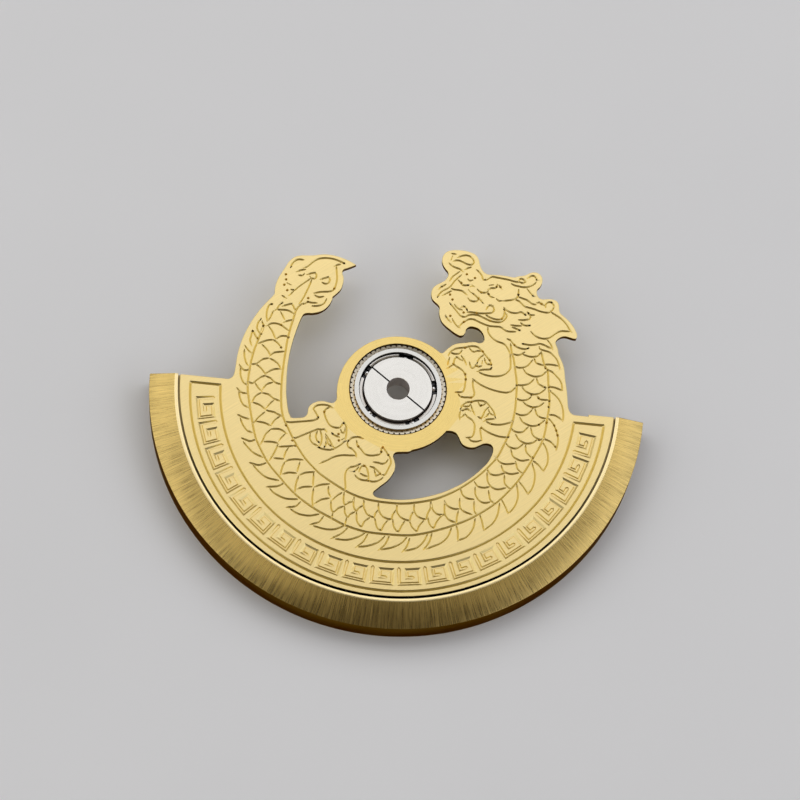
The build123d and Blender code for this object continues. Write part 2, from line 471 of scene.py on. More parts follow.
def turned(name, colour, roughness, lines, rings, relief=0.4, dark=0.84, patches=0.3, edge_tint=None):
    """Metal brushed about the bearing's axis: radial lines, rings, or some of both."""
    n = Nodes(name)
    x, y, z = n.place()
    radius = n.math("SQRT", n.plus(n.times(x, x), n.times(y, y)))
    turn = n.math("ARCTAN2", y, x)
    fine = n.noise(n.times(turn, lines), n.times(radius, rings), n.times(z, turned_height), grain_detail)
    broad = n.noise(n.times(turn, patch_turn), n.times(radius, patch_out), patch_height)
    tone = n.mix(n.spread(fine), shade(colour, dark), shade(colour, light_grain))
    tone = n.mix(n.ramp(broad, patch_low, patch_high, 0.0, patches), tone, shade(colour, dark))
    n.bump(fine, relief, turned_relief_depth)
    grain = n.spread(fine, roughness - smoother, roughness + turned_rougher)
    return n.metal(tone, grain, edge_tint)


def painted_shade_seam(name, dark, light, edge_tint):
    """Gold inside the seam between the plate and the rim, with painted shade: dark below, lighter towards
    the ring's ends.
    """
    n = Nodes(name)
    x, y, z = n.place()
    grain = n.noise(n.times(x, seam_grain), n.times(y, seam_grain), z)
    tone = n.mix(n.ramp(y, seam_low_level, seam_high_level, 0.0, 1.0), shade(dark), shade(light))
    tone = n.mix(n.spread(grain, 0.0, seam_grain_share), tone, shade(dark))
    return n.metal(tone, seam_roughness, edge_tint)


# The second colour is painted shade on the walls of the engraved lines
plate_gold = straight_brushed("plate_gold", (0.96, 0.765, 0.36), (0.84, 0.69, 0.30), angle=38.0,
                              roughness=0.33)
# Painted shade: the rim's bevel is painted a darker gold than the plate, standing in for the shade it falls
# into
bevel_gold_painted_shade = turned("bevel_gold_painted_shade", (0.745, 0.54, 0.185), 0.28, lines=220.0, rings=0.5, relief=0.75,
                    dark=0.55, patches=0.05)
# Painted shade: the side walls of the rim and of the plate are painted dark gold, and the edge tint darkens
# what they mirror at a grazing angle
side_gold_painted_shade = turned("side_gold_painted_shade", (0.165, 0.10, 0.028), 0.30, lines=5.0, rings=3.0,
                   edge_tint=(0.4, 0.28, 0.12))
# Painted shade: the seam is painted near black, lighter towards the ring's ends
seam_gold_painted_shade = painted_shade_seam("seam_gold_painted_shade", (0.03, 0.018, 0.006), (0.55, 0.42, 0.2), edge_tint=(0.2, 0.15, 0.1))
# Painted highlight: the rim's narrow ridge is painted a paler gold than the plate
ridge_gold_painted_highlight = turned("ridge_gold_painted_highlight", (0.99, 0.82, 0.45), 0.28, lines=1.5, rings=8.0, relief=0.1, dark=0.95,
                    patches=0.1)
hub_gold = turned("hub_gold", (0.95, 0.72, 0.265), 0.30, lines=1.5, rings=16.0)
race_steel = turned("race_steel", (0.765, 0.755, 0.735), 0.24, lines=0.8, rings=5.0, relief=0.04, dark=0.97)
ring_steel = turned("ring_steel", (0.70, 0.70, 0.685), 0.24, lines=0.8, rings=5.0, relief=0.04, dark=0.97)
bore_steel = turned("bore_steel", (0.78, 0.73, 0.70), 0.55, lines=1.0, rings=3.0)
# Painted reflection: the outer race's outer wall is painted gold, as if it mirrored the plate
race_side_painted_reflection = turned("race_side_painted_reflection", (0.85, 0.6, 0.22), 0.4, lines=1.0, rings=4.0)
# Painted shade: the inner race's outer wall in the ball gap is painted darker and browner than its steel
wall_steel_painted_shade = turned("wall_steel_painted_shade", (0.66, 0.56, 0.47), 0.6, lines=1.0, rings=4.0)
# Painted shade: near black for the ball tracks, the slit and the cage below its top
track_steel_painted_shade = turned("track_steel_painted_shade", (0.07, 0.07, 0.075), 0.4, lines=1.0, rings=4.0)
tooth_steel = turned("tooth_steel", (0.70, 0.64, 0.53), 0.3, lines=6.0, rings=6.0)
cage_steel = turned("cage_steel", (0.66, 0.635, 0.61), 0.2, lines=1.5, rings=8.0, relief=0.1)
ball_steel = turned("ball_steel", (0.80, 0.80, 0.81), 0.06, lines=1.0, rings=1.0, relief=0.02)


# Rim weight: a half ring whose ends lie in one plane beside the bearing
def rim_weight():
    ridge_outer = rotor_radius - bevel_width
    ridge_inner = ridge_outer - ridge_width
    inner = rotor_radius - rim_width
    top, bottom = rim_high.z, rim_low.z
    section = [
        (inner, bottom),
        (rotor_radius - foot_chamfer, bottom),
        (rotor_radius, bottom + foot_chamfer),
        (rotor_radius, top - bevel_drop),
        (ridge_outer, top),
        (ridge_inner, top),
        (ridge_inner, plate_bottom),
        (inner, plate_bottom),
    ]
    section = rounded(section, rim_edge, (0, 3, 4, 5, 7))
    level = -rim_high.y
    rings = []
    for step in range(rim_steps + 1):
        ring = []
        for r, z in section:
            start = math.asin(level / r)
            turn = -start - (math.pi - 2 * start) * step / rim_steps
            ring.append((r * math.cos(turn), r * math.sin(turn), z))
        rings.append(ring)
    # The rim's base paint is the bevel's darker gold, a painted shade
    piece = sweep("rim_half_ring", rings, False, bevel_gold_painted_shade)
    # Painted shade on the rim's steep side walls
    repaint(piece, side_gold_painted_shade, lambda centre, normal: abs(normal.z) < rim_wall_lean)
    # Painted highlight on the rim's ridge top
    repaint(piece, ridge_gold_painted_highlight, lambda centre, normal: centre.z > top - ridge_skin)
    # Painted shade in the seam: the ridge's inner wall and the ledge under the plate
    repaint(piece, seam_gold_painted_shade, lambda centre, normal:
            centre.xy.length < ridge_inner + paint_margin
            and plate_bottom - seam_drop < centre.z < top - ridge_skin)
    soften(piece, rim_soft_width, rim_soft_angle)
    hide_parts("rim_weight")
    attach(piece, "rotor")


# Bearing races
def track(side):
    """The points of the ball track's half section, on the inner (-1) or the outer (1) race."""
    flat = track_radius * math.tan(math.radians(180 / track_sides))
    edge = (inner_race_radius if side < 0 else outer_race_bore) - ball_orbit
    reach = track_radius * math.sqrt(2) - abs(edge)
    floor = ball_orbit + side * track_radius
    rim = ball_orbit + edge
    return [
        (rim, race_middle + reach),
        (floor, race_middle + flat),
        (floor, race_middle - flat),
        (rim, race_middle - reach),
    ]


def outer_race():
    above, floor_above, floor_below, below = track(1)
    section = [
        above,
        floor_above,
        floor_below,
        below,
        (outer_race_bore, race_bottom),
        (outer_race_radius, race_bottom),
        (outer_race_radius, race_top),
        (outer_race_bore, race_top),
    ]
    ring = revolve("outer_race_ring", rounded(section, race_edge, (0, 3, 4, 5, 6, 7)), ring_steel)
    # Painted shade in the outer race's ball track
    repaint(ring, track_steel_painted_shade, lambda centre, normal:
            centre.xy.length < outer_race_bore + outer_track_paint
            and centre.z < race_top - track_paint_drop)
    # Painted reflection of the gold on the outer race's outer wall
    repaint(ring, race_side_painted_reflection, lambda centre, normal: centre.xy.length > outer_race_radius - paint_margin)
    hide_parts("race_ring")
    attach(ring, "rotor")


def inner_race():
    """The inner race as two halves: the disc on top with its slit, and the foot under it."""
    above, floor_above, floor_below, below = track(-1)
    floor = floor_above[0]
    upper = [
        (bore_radius, race_middle),
        (floor, race_middle),
        floor_above,
        above,
        (inner_race_radius, race_top),
        (bore_radius, race_top),
    ]
    disc = revolve("inner_race_disc", rounded(upper, race_edge, (3, 4, 5)), race_steel)
    slit(disc)
    # Painted shade in the disc's ball track
    repaint(disc, track_steel_painted_shade, lambda centre, normal:
            centre.xy.length > inner_race_radius - inner_track_paint
            and centre.z < race_top - track_paint_drop)
    # Painted shade on the disc's outer wall inside the ball gap
    repaint(disc, wall_steel_painted_shade, lambda centre, normal:
            centre.xy.length > inner_race_radius - paint_margin
            and race_top - race_wall_depth < centre.z < race_top - race_lip)
    repaint(disc, bore_steel, in_bore)
    # Painted shade in the slit
    repaint(disc, track_steel_painted_shade, in_slit)
    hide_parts("inner_race_top")
    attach(disc, "inner_race")

    lower = [
        (bore_radius, race_bottom),
        (inner_race_radius, race_bottom),
        below,
        floor_below,
        (floor, race_middle),
        (bore_radius, race_middle),
    ]
    foot = revolve("inner_race_foot", rounded(lower, race_edge, (0, 1, 2)), race_steel)
    # Painted shade in the foot's ball track
    repaint(foot, track_steel_painted_shade, lambda centre, normal:
            centre.xy.length > inner_race_radius - inner_track_paint)
    repaint(foot, bore_steel, in_bore)
    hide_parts("inner_race_bottom")
    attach(foot, "inner_race")


def in_bore(centre, normal):
    return centre.xy.length < bore_radius + paint_margin


def in_slit(centre, normal):
    turn = math.radians(slit_angle)
    if not race_top - slit_depth - paint_margin < centre.z < race_top - paint_margin:
        return False
    return abs(centre.y * math.cos(turn) - centre.x * math.sin(turn)) < slit_width / 2 + paint_margin / 2


def slit(disc):
    """The line across the inner race's top, cut as a shallow slot."""
    length = 4 * inner_race_radius
    work = bmesh.new()
    bmesh.ops.create_cube(work, size=1.0)
    bmesh.ops.scale(work, vec=(length * MM, slit_width * MM, 2 * slit_depth * MM), verts=work.verts)
    bmesh.ops.rotate(work, cent=(0, 0, 0), matrix=Matrix.Rotation(math.radians(slit_angle), 3, "Z"),
                     verts=work.verts)
    bmesh.ops.translate(work, vec=(0, 0, race_top * MM), verts=work.verts)
    mesh = bpy.data.meshes.new("slit_cutter")
    work.to_mesh(mesh)
    work.free()
    carve(disc, link("slit_cutter", mesh))


# Plate outline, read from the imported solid
def outline_loops():
    """The closed loops of the plate's top face, in millimetres, each with the plate on its left."""
    work = bmesh.new()
    work.from_mesh(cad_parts["dragon_plate"].data)
    others = [face for face in work.faces if face.normal.z < level_face]
    bmesh.ops.delete(work, geom=others, context="FACES")
    bmesh.ops.remove_doubles(work, verts=work.verts, dist=same_point * MM)
    after = {}
    for edge in work.edges:
        if len(edge.link_faces) == 1:
            corner = edge.link_loops[0]
            after[corner.vert] = corner.link_loop_next.vert
    loops = []
    while after:
        start, here = next(iter(after.items()))
        del after[start]
        loop = [start]
        while here != start:
            loop.append(here)
            here = after.pop(here)
        loops.append(np.array([tuple(vert.co[:2]) for vert in loop]) / MM)
    work.free()
    return loops


def shifted(loop, distance):
    """The loop moved to its left by the distance (negative moves it to its right)."""
    before = loop - np.roll(loop, 1, 0)
    after = np.roll(loop, -1, 0) - loop
    before /= np.linalg.norm(before, axis=1)[:, None]
    after /= np.linalg.norm(after, axis=1)[:, None]
    way = before + after
    length = np.linalg.norm(way, axis=1)
    way /= length[:, None]
    left = np.stack([-way[:, 1], way[:, 0]], 1)
    return loop + left * (distance / np.clip(length / 2, least_corner, 1.0))[:, None]


# Engraving
def smooth_line(points):
    """A smooth curve through the points, at even steps."""
    p = np.array(points, float)
    if len(p) == 2:
        count = max(2, int(np.linalg.norm(p[1] - p[0]) / line_step) + 1)
        return p[0] + (p[1] - p[0]) * np.linspace(0, 1, count)[:, None]
    ends = np.vstack([2 * p[0] - p[1], p, 2 * p[-1] - p[-2]])
    out = [p[:1]]
    for k in range(len(p) - 1):
        a, b, c, d = ends[k:k + 4]
        count = max(1, int(round(np.linalg.norm(c - b) / line_step)))
        t = (np.arange(1, count + 1) / count)[:, None]
        out.append(0.5 * (2 * b + (c - a) * t + (2 * a - 5 * b + 4 * c - d) * t ** 2
                          + (3 * b - a - 3 * c + d) * t ** 3))
    return np.vstack(out)


class Groove:
    """An engraved line: its middle, its half width at each point and the rings round it.

    A fine line has a V section. A slot has steeper sides and a flat floor.
    """

    def __init__(self, points, half_width, tapered=True, smooth=True, slot=False):
        self.middle = smooth_line(points) if smooth else np.array(points, float)
        if tapered:
            for end, inner in ((0, 1), (-1, -2)):
                way = self.middle[end] - self.middle[inner]
                self.middle[end] += way / np.linalg.norm(way) * line_reach
        self.half = np.full(len(self.middle), half_width)
        if tapered:
            steps = np.linalg.norm(np.diff(self.middle, axis=0), axis=1)
            length = np.concatenate([[0], np.cumsum(steps)])
            reach = min(line_taper, length[-1] / 3)
            near_end = np.minimum(length, length[-1] - length)
            self.half = half_width * (taper_share + (1 - taper_share) * np.clip(near_end / reach, 0, 1))
        run = np.diff(self.middle, axis=0)
        run /= np.linalg.norm(run, axis=1)[:, None]
        before, after = np.vstack([run[:1], run]), np.vstack([run, run[-1:]])
        way = before + after
        way /= np.linalg.norm(way, axis=1)[:, None]
        self.slope = slot_slope if slot else line_slope
        self.floor = slot_floor if slot else half_width * line_slope
        mitre = np.clip((way * after).sum(1), least_mitre, 1.0)
        left = np.stack([-way[:, 1], way[:, 0]], 1) / mitre[:, None]
        self.rings = [self.ring(left, way, self.half)]
        if slot:
            self.rings.append(self.ring(left, way, self.half - self.floor / self.slope))

    def ring(self, left, way, half):
        """The closed line that lies at the given distance from the middle, with pointed ends."""
        shift = left * half[:, None]
        start, end = self.middle[:1] - way[:1] * half[0], self.middle[-1:] + way[-1:] * half[-1]
        return np.vstack([self.middle + shift, end, (self.middle - shift)[::-1], start])

    def lines(self):
        return [(self.middle, False)] + [(ring, True) for ring in self.rings]

    def depth(self, points):
        """How deep the groove is at each of the points."""
        deepest = np.zeros(len(points))
        low = self.middle.min(0) - self.half.max()
        high = self.middle.max(0) + self.half.max()
        near = np.where(((points >= low) & (points <= high)).all(1))[0]
        if not len(near):
            return deepest
        q = points[near]
        best = np.zeros(len(q))
        for a, b, wa, wb in zip(self.middle, self.middle[1:], self.half, self.half[1:]):
            run = b - a
            t = np.clip(((q - a) @ run) / (run @ run), 0, 1)
            gap = np.linalg.norm(q - a - t[:, None] * run, axis=1)
            width = wa + (wb - wa) * t
            best = np.maximum(best, (width - gap) * self.slope)
        deepest[near] = np.minimum(best, self.floor)
        return deepest


class Pit:
    """The small round mark that the tool leaves where it goes in."""

    def __init__(self, place):
        self.place = np.array(place)
        turns = np.arange(pit_sides) * 2 * math.pi / pit_sides
        self.ring = self.place + pit_radius * np.stack([np.cos(turns), np.sin(turns)], 1)

    def lines(self):
        return [(self.ring, True), (self.place[None], False)]

    def depth(self, points):
        """How deep the mark is at each of the points."""
        gap = np.linalg.norm(points - self.place, axis=1)
        return np.maximum(pit_radius - gap, 0) * pit_depth_share


def arc_points(centre, radius, start, end):
    """Points along an arc about a centre, from one angle in degrees to another."""
    count = max(3, int(abs(math.radians(end - start)) * radius / arc_step))
    turns = np.radians(np.linspace(start, end, count))
    return np.stack([centre[0] + radius * np.cos(turns), centre[1] + radius * np.sin(turns)], 1)


# Engraving tables: points in millimetres on the plate, read off the photograph
inner_border = [
    (5.84, 3.22), (5.88, 2.99), (5.95, 2.72), (6.06, 2.4), (6.2, 1.73), (6.33, 0.93), (6.35, -0.2),
    (6.32, -0.73), (6.17, -1.67), (5.9, -2.53), (5.6, -3.27), (5.13, -3.93), (4.53, -4.6), (3.67, -5.33),
    (2.93, -5.8), (2.2, -6.13), (1.0, -6.43), (0, -6.49), (-1, -6.43), (-1.73, -6.27), (-2.4, -6.0),
    (-3.47, -5.4), (-4.03, -4.97), (-4.67, -4.33), (-5.27, -3.47), (-5.73, -2.67), (-5.93, -2.3),
    (-6.1, -1.72), (-6.2, -0.88), (-6.24, 0.03), (-6.22, 1.03), (-6.19, 1.66), (-6.17, 2.07), (-6.12, 2.53),
    (-6.05, 2.98), (-5.98, 3.35), (-5.93, 3.65), (-5.86, 3.98), (-5.75, 4.2), (-5.6, 4.36)
]
outer_border = [
    (7.53, 2.93), (7.73, 2.27), (7.93, 1.93), (8.03, 1.13), (8.13, 0.47), (8.15, -0.2), (8.1, -0.8),
    (8.03, -1.6), (7.9, -2.2), (7.53, -3.07), (6.93, -4.27), (6.4, -5.07), (5.67, -5.93), (4.73, -6.7),
    (3.8, -7.27), (2.53, -7.83), (1.4, -8.17), (0.27, -8.25), (-1, -8.23), (-2.07, -8.0), (-2.87, -7.67),
    (-3.87, -7.2), (-4.93, -6.5), (-5.83, -5.63), (-6.53, -4.87), (-7.17, -3.83), (-7.4, -3.27),
    (-7.6, -2.55), (-7.85, -1.55), (-8.02, -0.63), (-8.0, 0.45), (-7.89, 1.37), (-7.64, 2.37), (-7.52, 2.9)
]
right_scales = [
    [(6.64, 1.85), (6.85, 1.62), (7.25, 1.5), (7.6, 1.6), (7.82, 1.83)],
    [(6.66, 0.8), (6.85, 0.6), (7.2, 0.47), (7.55, 0.55), (7.85, 0.82)],
    [(6.78, -0.05), (6.95, -0.18), (7.25, -0.27), (7.55, -0.2), (7.82, 0.02)],
    [(6.65, -0.95), (6.85, -1.2), (7.25, -1.35), (7.6, -1.27), (7.93, -0.97)],
    [(6.5, -1.95), (6.7, -2.22), (7.05, -2.38), (7.4, -2.3), (7.62, -2.1)],
    [(6.0, 2.68), (6.3, 2.65), (6.6, 2.85)],
    [(6.13, 1.97), (6.45, 1.92), (6.8, 2.08), (7.05, 2.42)],
    [(6.33, 0.93), (6.6, 0.92), (6.95, 1.05), (7.2, 1.32)],
    [(6.37, 0.13), (6.65, 0.05), (6.95, 0.14), (7.12, 0.3)],
    [(6.38, -0.72), (6.7, -0.8), (7.0, -0.7), (7.22, -0.45)],
    [(6.22, -1.62), (6.45, -1.77), (6.8, -1.75), (7.08, -1.45)],
    [(5.98, -2.45), (6.2, -2.67), (6.55, -2.72), (6.88, -2.45)],
    [(7.17, 2.55), (7.3, 2.3), (7.65, 2.2)],
    [(7.38, 1.4), (7.5, 1.12), (7.85, 0.92)],
    [(7.5, 0.35), (7.65, 0.22), (8.05, 0.22)],
    [(7.42, -0.38), (7.55, -0.68), (7.8, -0.83), (8.02, -0.84)],
    [(7.27, -1.5), (7.4, -1.85), (7.75, -2.08), (8.0, -2.0)],
    [(7.05, -2.5), (7.12, -2.85), (7.45, -3.17)],
    [(6.58, 2.7), (6.95, 2.62), (7.3, 2.7), (7.45, 2.9)]
]
lower_right_scales = [
    [(5.55, -3.35), (5.75, -3.58), (6.05, -3.67), (6.5, -3.58)],
    [(6.3, -2.85), (6.45, -3.2), (6.85, -3.38), (7.25, -3.3)],
    [(6.6, -3.5), (6.72, -3.85), (7.0, -4.1)],
    [(5.1, -4.05), (5.3, -4.3), (5.6, -4.35), (6.0, -4.2)],
    [(5.85, -3.8), (6.0, -4.08), (6.35, -4.2), (6.75, -4.1)],
    [(6.05, -4.35), (6.1, -4.75), (6.42, -5.05)],
    [(4.5, -4.85), (4.7, -5.08), (5.0, -5.12), (5.25, -5.05)],
    [(5.12, -4.3), (5.2, -4.75), (5.45, -5.05), (5.75, -5.14), (6.12, -5.02)],
    [(5.28, -5.3), (5.4, -5.75), (5.62, -5.93)],
    [(3.8, -5.35), (3.9, -5.6), (4.15, -5.8), (4.5, -5.83)],
    [(4.55, -5.2), (4.6, -5.55), (4.85, -5.88), (5.1, -5.97), (5.35, -5.9)],
    [(4.55, -6.0), (4.6, -6.45), (4.78, -6.68)],
    [(3.0, -6.1), (3.2, -6.35), (3.5, -6.47), (3.75, -6.45)],
    [(3.78, -5.9), (3.82, -6.3), (4.05, -6.55), (4.45, -6.68)],
    [(3.0, -6.2), (3.05, -6.75), (3.3, -7.1), (3.65, -7.22)],
    [(3.75, -6.6), (3.7, -6.95), (3.72, -7.25)],
    [(2.3, -6.25), (2.4, -6.6), (2.65, -6.85), (2.98, -6.87)]
]
bottom_scales = [
    [(1.4, -6.45), (1.42, -6.75), (1.6, -7.05), (1.85, -7.18), (2.08, -7.18), (2.15, -6.85), (2.28, -6.5),
     (2.25, -6.2)],
    [(0.5, -6.55), (0.52, -6.9), (0.72, -7.2), (0.98, -7.33), (1.22, -7.35), (1.27, -7.1), (1.38, -6.85)],
    [(-0.48, -6.6), (-0.45, -6.9), (-0.28, -7.2), (0.0, -7.38), (0.27, -7.37), (0.3, -7.15), (0.42, -6.9)],
    [(-1.27, -6.5), (-1.25, -6.8), (-1.1, -7.15), (-0.88, -7.33), (-0.65, -7.37), (-0.62, -7.15),
     (-0.52, -7.0)],
    [(-1.8, -6.4), (-1.8, -6.75), (-1.72, -7.0), (-1.62, -7.1), (-1.5, -6.92), (-1.33, -6.82)],
    [(-2.35, -6.2), (-2.35, -6.55), (-2.25, -6.83), (-2.1, -6.72), (-1.88, -6.6), (-1.8, -6.35)],
    [(2.2, -7.15), (2.3, -7.45), (2.53, -7.63), (2.62, -7.35), (2.75, -7.1), (2.95, -6.85)],
    [(1.25, -7.4), (1.35, -7.65), (1.5, -7.8), (1.65, -7.9), (1.75, -7.6), (1.95, -7.3)],
    [(0.35, -7.45), (0.42, -7.75), (0.55, -7.95), (0.7, -8.02), (0.8, -7.75), (0.95, -7.45)],
    [(-0.6, -7.45), (-0.5, -7.8), (-0.4, -7.98), (-0.22, -8.05), (-0.12, -7.75), (0.05, -7.5)],
    [(-1.6, -7.2), (-1.55, -7.6), (-1.42, -7.85), (-1.27, -7.95), (-1.15, -7.65), (-0.92, -7.45)],
    [(-2.25, -7.0), (-2.2, -7.3), (-2.03, -7.5), (-1.95, -7.35), (-1.73, -7.2)],
    [(-2.1, -7.6), (-2.15, -7.92)],
    [(-2.85, -7.4), (-2.87, -7.65)]
]
lower_left_scales = [
    [(-5.6, -4.75), (-5.45, -4.65), (-5.1, -4.57), (-4.72, -4.56)],
    [(-5.8, -5.5), (-5.75, -5.1), (-5.65, -4.8)],
    [(-5.65, -5.45), (-5.35, -5.35), (-5.0, -5.35)],
    [(-4.85, -4.75), (-4.93, -5.2)],
    [(-4.8, -5.43), (-4.5, -5.27), (-4.05, -5.18)],
    [(-4.95, -6.4), (-4.93, -5.9), (-4.85, -5.55)],
    [(-4.8, -6.2), (-4.5, -6.07), (-4.1, -6.02)],
    [(-4.05, -5.3), (-4.03, -5.9)],
    [(-3.93, -6.0), (-3.65, -5.87), (-3.2, -5.77)],
    [(-3.93, -7.1), (-4.0, -6.6), (-3.98, -6.15)],
    [(-3.85, -6.93), (-3.55, -6.7), (-3.15, -6.57)],
    [(-3.2, -5.95), (-3.18, -6.2), (-3.05, -6.45)],
    [(-2.95, -6.65), (-2.75, -6.4), (-2.5, -6.2)],
    [(-3.0, -6.75), (-2.95, -7.1), (-2.82, -7.3), (-2.6, -7.08), (-2.35, -6.95)]
]
tail_scales = [
    [(-7.7, 1.82), (-7.4, 1.98), (-7.15, 2.08), (-6.95, 2.1)],
    [(-6.9, 2.1), (-6.7, 2.0), (-6.45, 1.75)],
    [(-7.35, 2.9), (-7.1, 3.05), (-6.8, 3.07), (-6.5, 2.97), (-6.15, 2.75)],
    [(-7.2, 2.85), (-7.0, 2.6), (-6.83, 2.25)],
    [(-6.78, 2.2), (-6.5, 2.38), (-6.15, 2.4)],
    [(-7.45, 1.75), (-7.2, 1.55), (-7.0, 1.25)],
    [(-7.0, 1.2), (-6.8, 1.38), (-6.3, 1.5)],
    [(-7.95, 0.58), (-7.7, 0.65), (-7.4, 0.92), (-7.1, 1.02)],
    [(-6.95, 1.0), (-6.75, 0.92), (-6.5, 0.75), (-6.35, 0.5)],
    [(-7.65, 0.58), (-7.4, 0.42), (-7.15, 0.13)],
    [(-7.15, 0.13), (-6.95, 0.3), (-6.7, 0.43), (-6.45, 0.47)],
    [(-8.0, -0.42), (-7.8, -0.5), (-7.55, -0.25), (-7.35, -0.08), (-7.15, 0)],
    [(-7.05, -0.03), (-6.8, -0.13), (-6.55, -0.33), (-6.25, -0.4)],
    [(-7.6, -0.5), (-7.45, -0.7), (-7.25, -0.88)],
    [(-7.2, -0.75), (-7.05, -0.5), (-6.75, -0.35)],
    [(-7.7, -1.55), (-7.55, -1.2), (-7.3, -1.02)],
    [(-7.15, -1.0), (-6.85, -1.05), (-6.55, -1.25), (-6.25, -1.35)],
    [(-7.6, -1.6), (-7.25, -1.7), (-6.95, -1.9)],
    [(-6.9, -1.8), (-6.75, -1.55), (-6.6, -1.4)],
    [(-7.5, -2.75), (-7.25, -2.35), (-7.0, -2.1)],
    [(-6.85, -1.98), (-6.5, -2.02), (-6.25, -2.12), (-6.03, -2.22)],
    [(-7.3, -2.65), (-6.95, -2.68), (-6.6, -2.8)],
    [(-6.55, -2.75), (-6.4, -2.45), (-6.2, -2.28)],
    [(-7.0, -3.88), (-6.9, -3.6), (-6.8, -3.3), (-6.6, -3.05)],
    [(-6.5, -3.0), (-6.2, -2.95), (-5.95, -3.0), (-5.7, -3.15)],
    [(-6.8, -3.75), (-6.5, -3.72), (-6.15, -3.75)],
    [(-6.05, -3.6), (-5.95, -3.4), (-5.8, -3.22)],
    [(-6.45, -4.75), (-6.25, -4.3), (-6.1, -3.85)],
    [(-6.0, -3.95), (-5.8, -3.92), (-5.5, -3.87), (-5.3, -3.83)],
    [(-6.2, -4.62), (-5.75, -4.62)],
    [(-5.7, -4.5), (-5.65, -4.2), (-5.55, -4.0)]
]
bottom_fins = [
    [(0.22, -8.35), (0.05, -8.8), (-0.25, -9.15)],
    [(1.15, -8.3), (0.9, -8.65), (0.45, -8.95), (-0.1, -9.13)],
    [(-0.92, -8.35), (-1.1, -8.75), (-1.45, -9.12)],
    [(-0.03, -8.4), (-0.35, -8.75), (-0.85, -9.0), (-1.3, -9.1)],
    [(-2.0, -8.1), (-2.3, -8.45), (-2.78, -8.77)],
    [(-1.08, -8.3), (-1.4, -8.55), (-1.95, -8.78), (-2.55, -8.8)],
    [(1.3, -8.4), (1.2, -8.8), (1.0, -9.12)],
    [(2.22, -8.05), (2.05, -8.45), (1.7, -8.85), (1.15, -9.07)],
    [(2.45, -8.0), (2.35, -8.45), (2.1, -8.88)],
    [(3.45, -7.6), (3.3, -8.05), (2.95, -8.45), (2.28, -8.83)],
    [(3.72, -7.4), (3.83, -7.75), (3.85, -8.2)],
    [(4.67, -6.95), (4.6, -7.45), (4.3, -7.95), (3.87, -8.2)],
    [(4.93, -6.7), (5.05, -7.0), (5.17, -7.45)],
    [(5.9, -5.95), (5.85, -6.5), (5.65, -7.0), (5.2, -7.48)],
    [(6.03, -5.72), (6.25, -6.1), (6.38, -6.4)],
    [(6.75, -4.8), (6.85, -5.4), (6.7, -6.0), (6.42, -6.4)],
    [(6.88, -4.6), (7.15, -4.9), (7.35, -5.2)],
    [(7.48, -3.5), (7.65, -4.0), (7.65, -4.5), (7.55, -4.9), (7.38, -5.2)],
    [(7.55, -3.35), (7.85, -3.55), (8.07, -3.82)],
    [(7.96, -2.23), (8.12, -2.45), (8.23, -2.73), (8.29, -3.0), (8.27, -3.4), (8.1, -3.82)]
]
right_fins = [
    [(7.4, 3.22), (7.44, 3.13), (7.66, 3.06), (7.94, 3.0), (8.16, 2.86), (8.37, 2.65), (8.5, 2.38),
     (8.57, 2.11)],
    [(7.75, 2.25), (7.98, 2.28), (8.21, 2.28), (8.44, 2.25)],
    [(7.8, 2.06), (7.96, 1.96), (8.21, 1.85), (8.44, 1.65), (8.62, 1.47), (8.73, 1.25), (8.8, 0.93)],
    [(8.1, 0.99), (8.3, 0.99), (8.53, 0.94), (8.75, 0.87)],
    [(8.12, 0.79), (8.3, 0.65), (8.53, 0.47), (8.71, 0.25), (8.85, -0.03), (8.92, -0.3), (8.95, -0.55),
     (8.94, -0.86)],
    [(8.19, -0.61), (8.44, -0.61), (8.66, -0.69), (8.87, -0.82)],
    [(8.16, -0.82), (8.32, -0.95), (8.48, -1.16), (8.62, -1.45), (8.72, -1.72), (8.76, -1.95), (8.75, -2.23),
     (8.69, -2.55)],
    [(7.98, -2.02), (8.21, -2.08), (8.44, -2.2), (8.66, -2.41)]
]
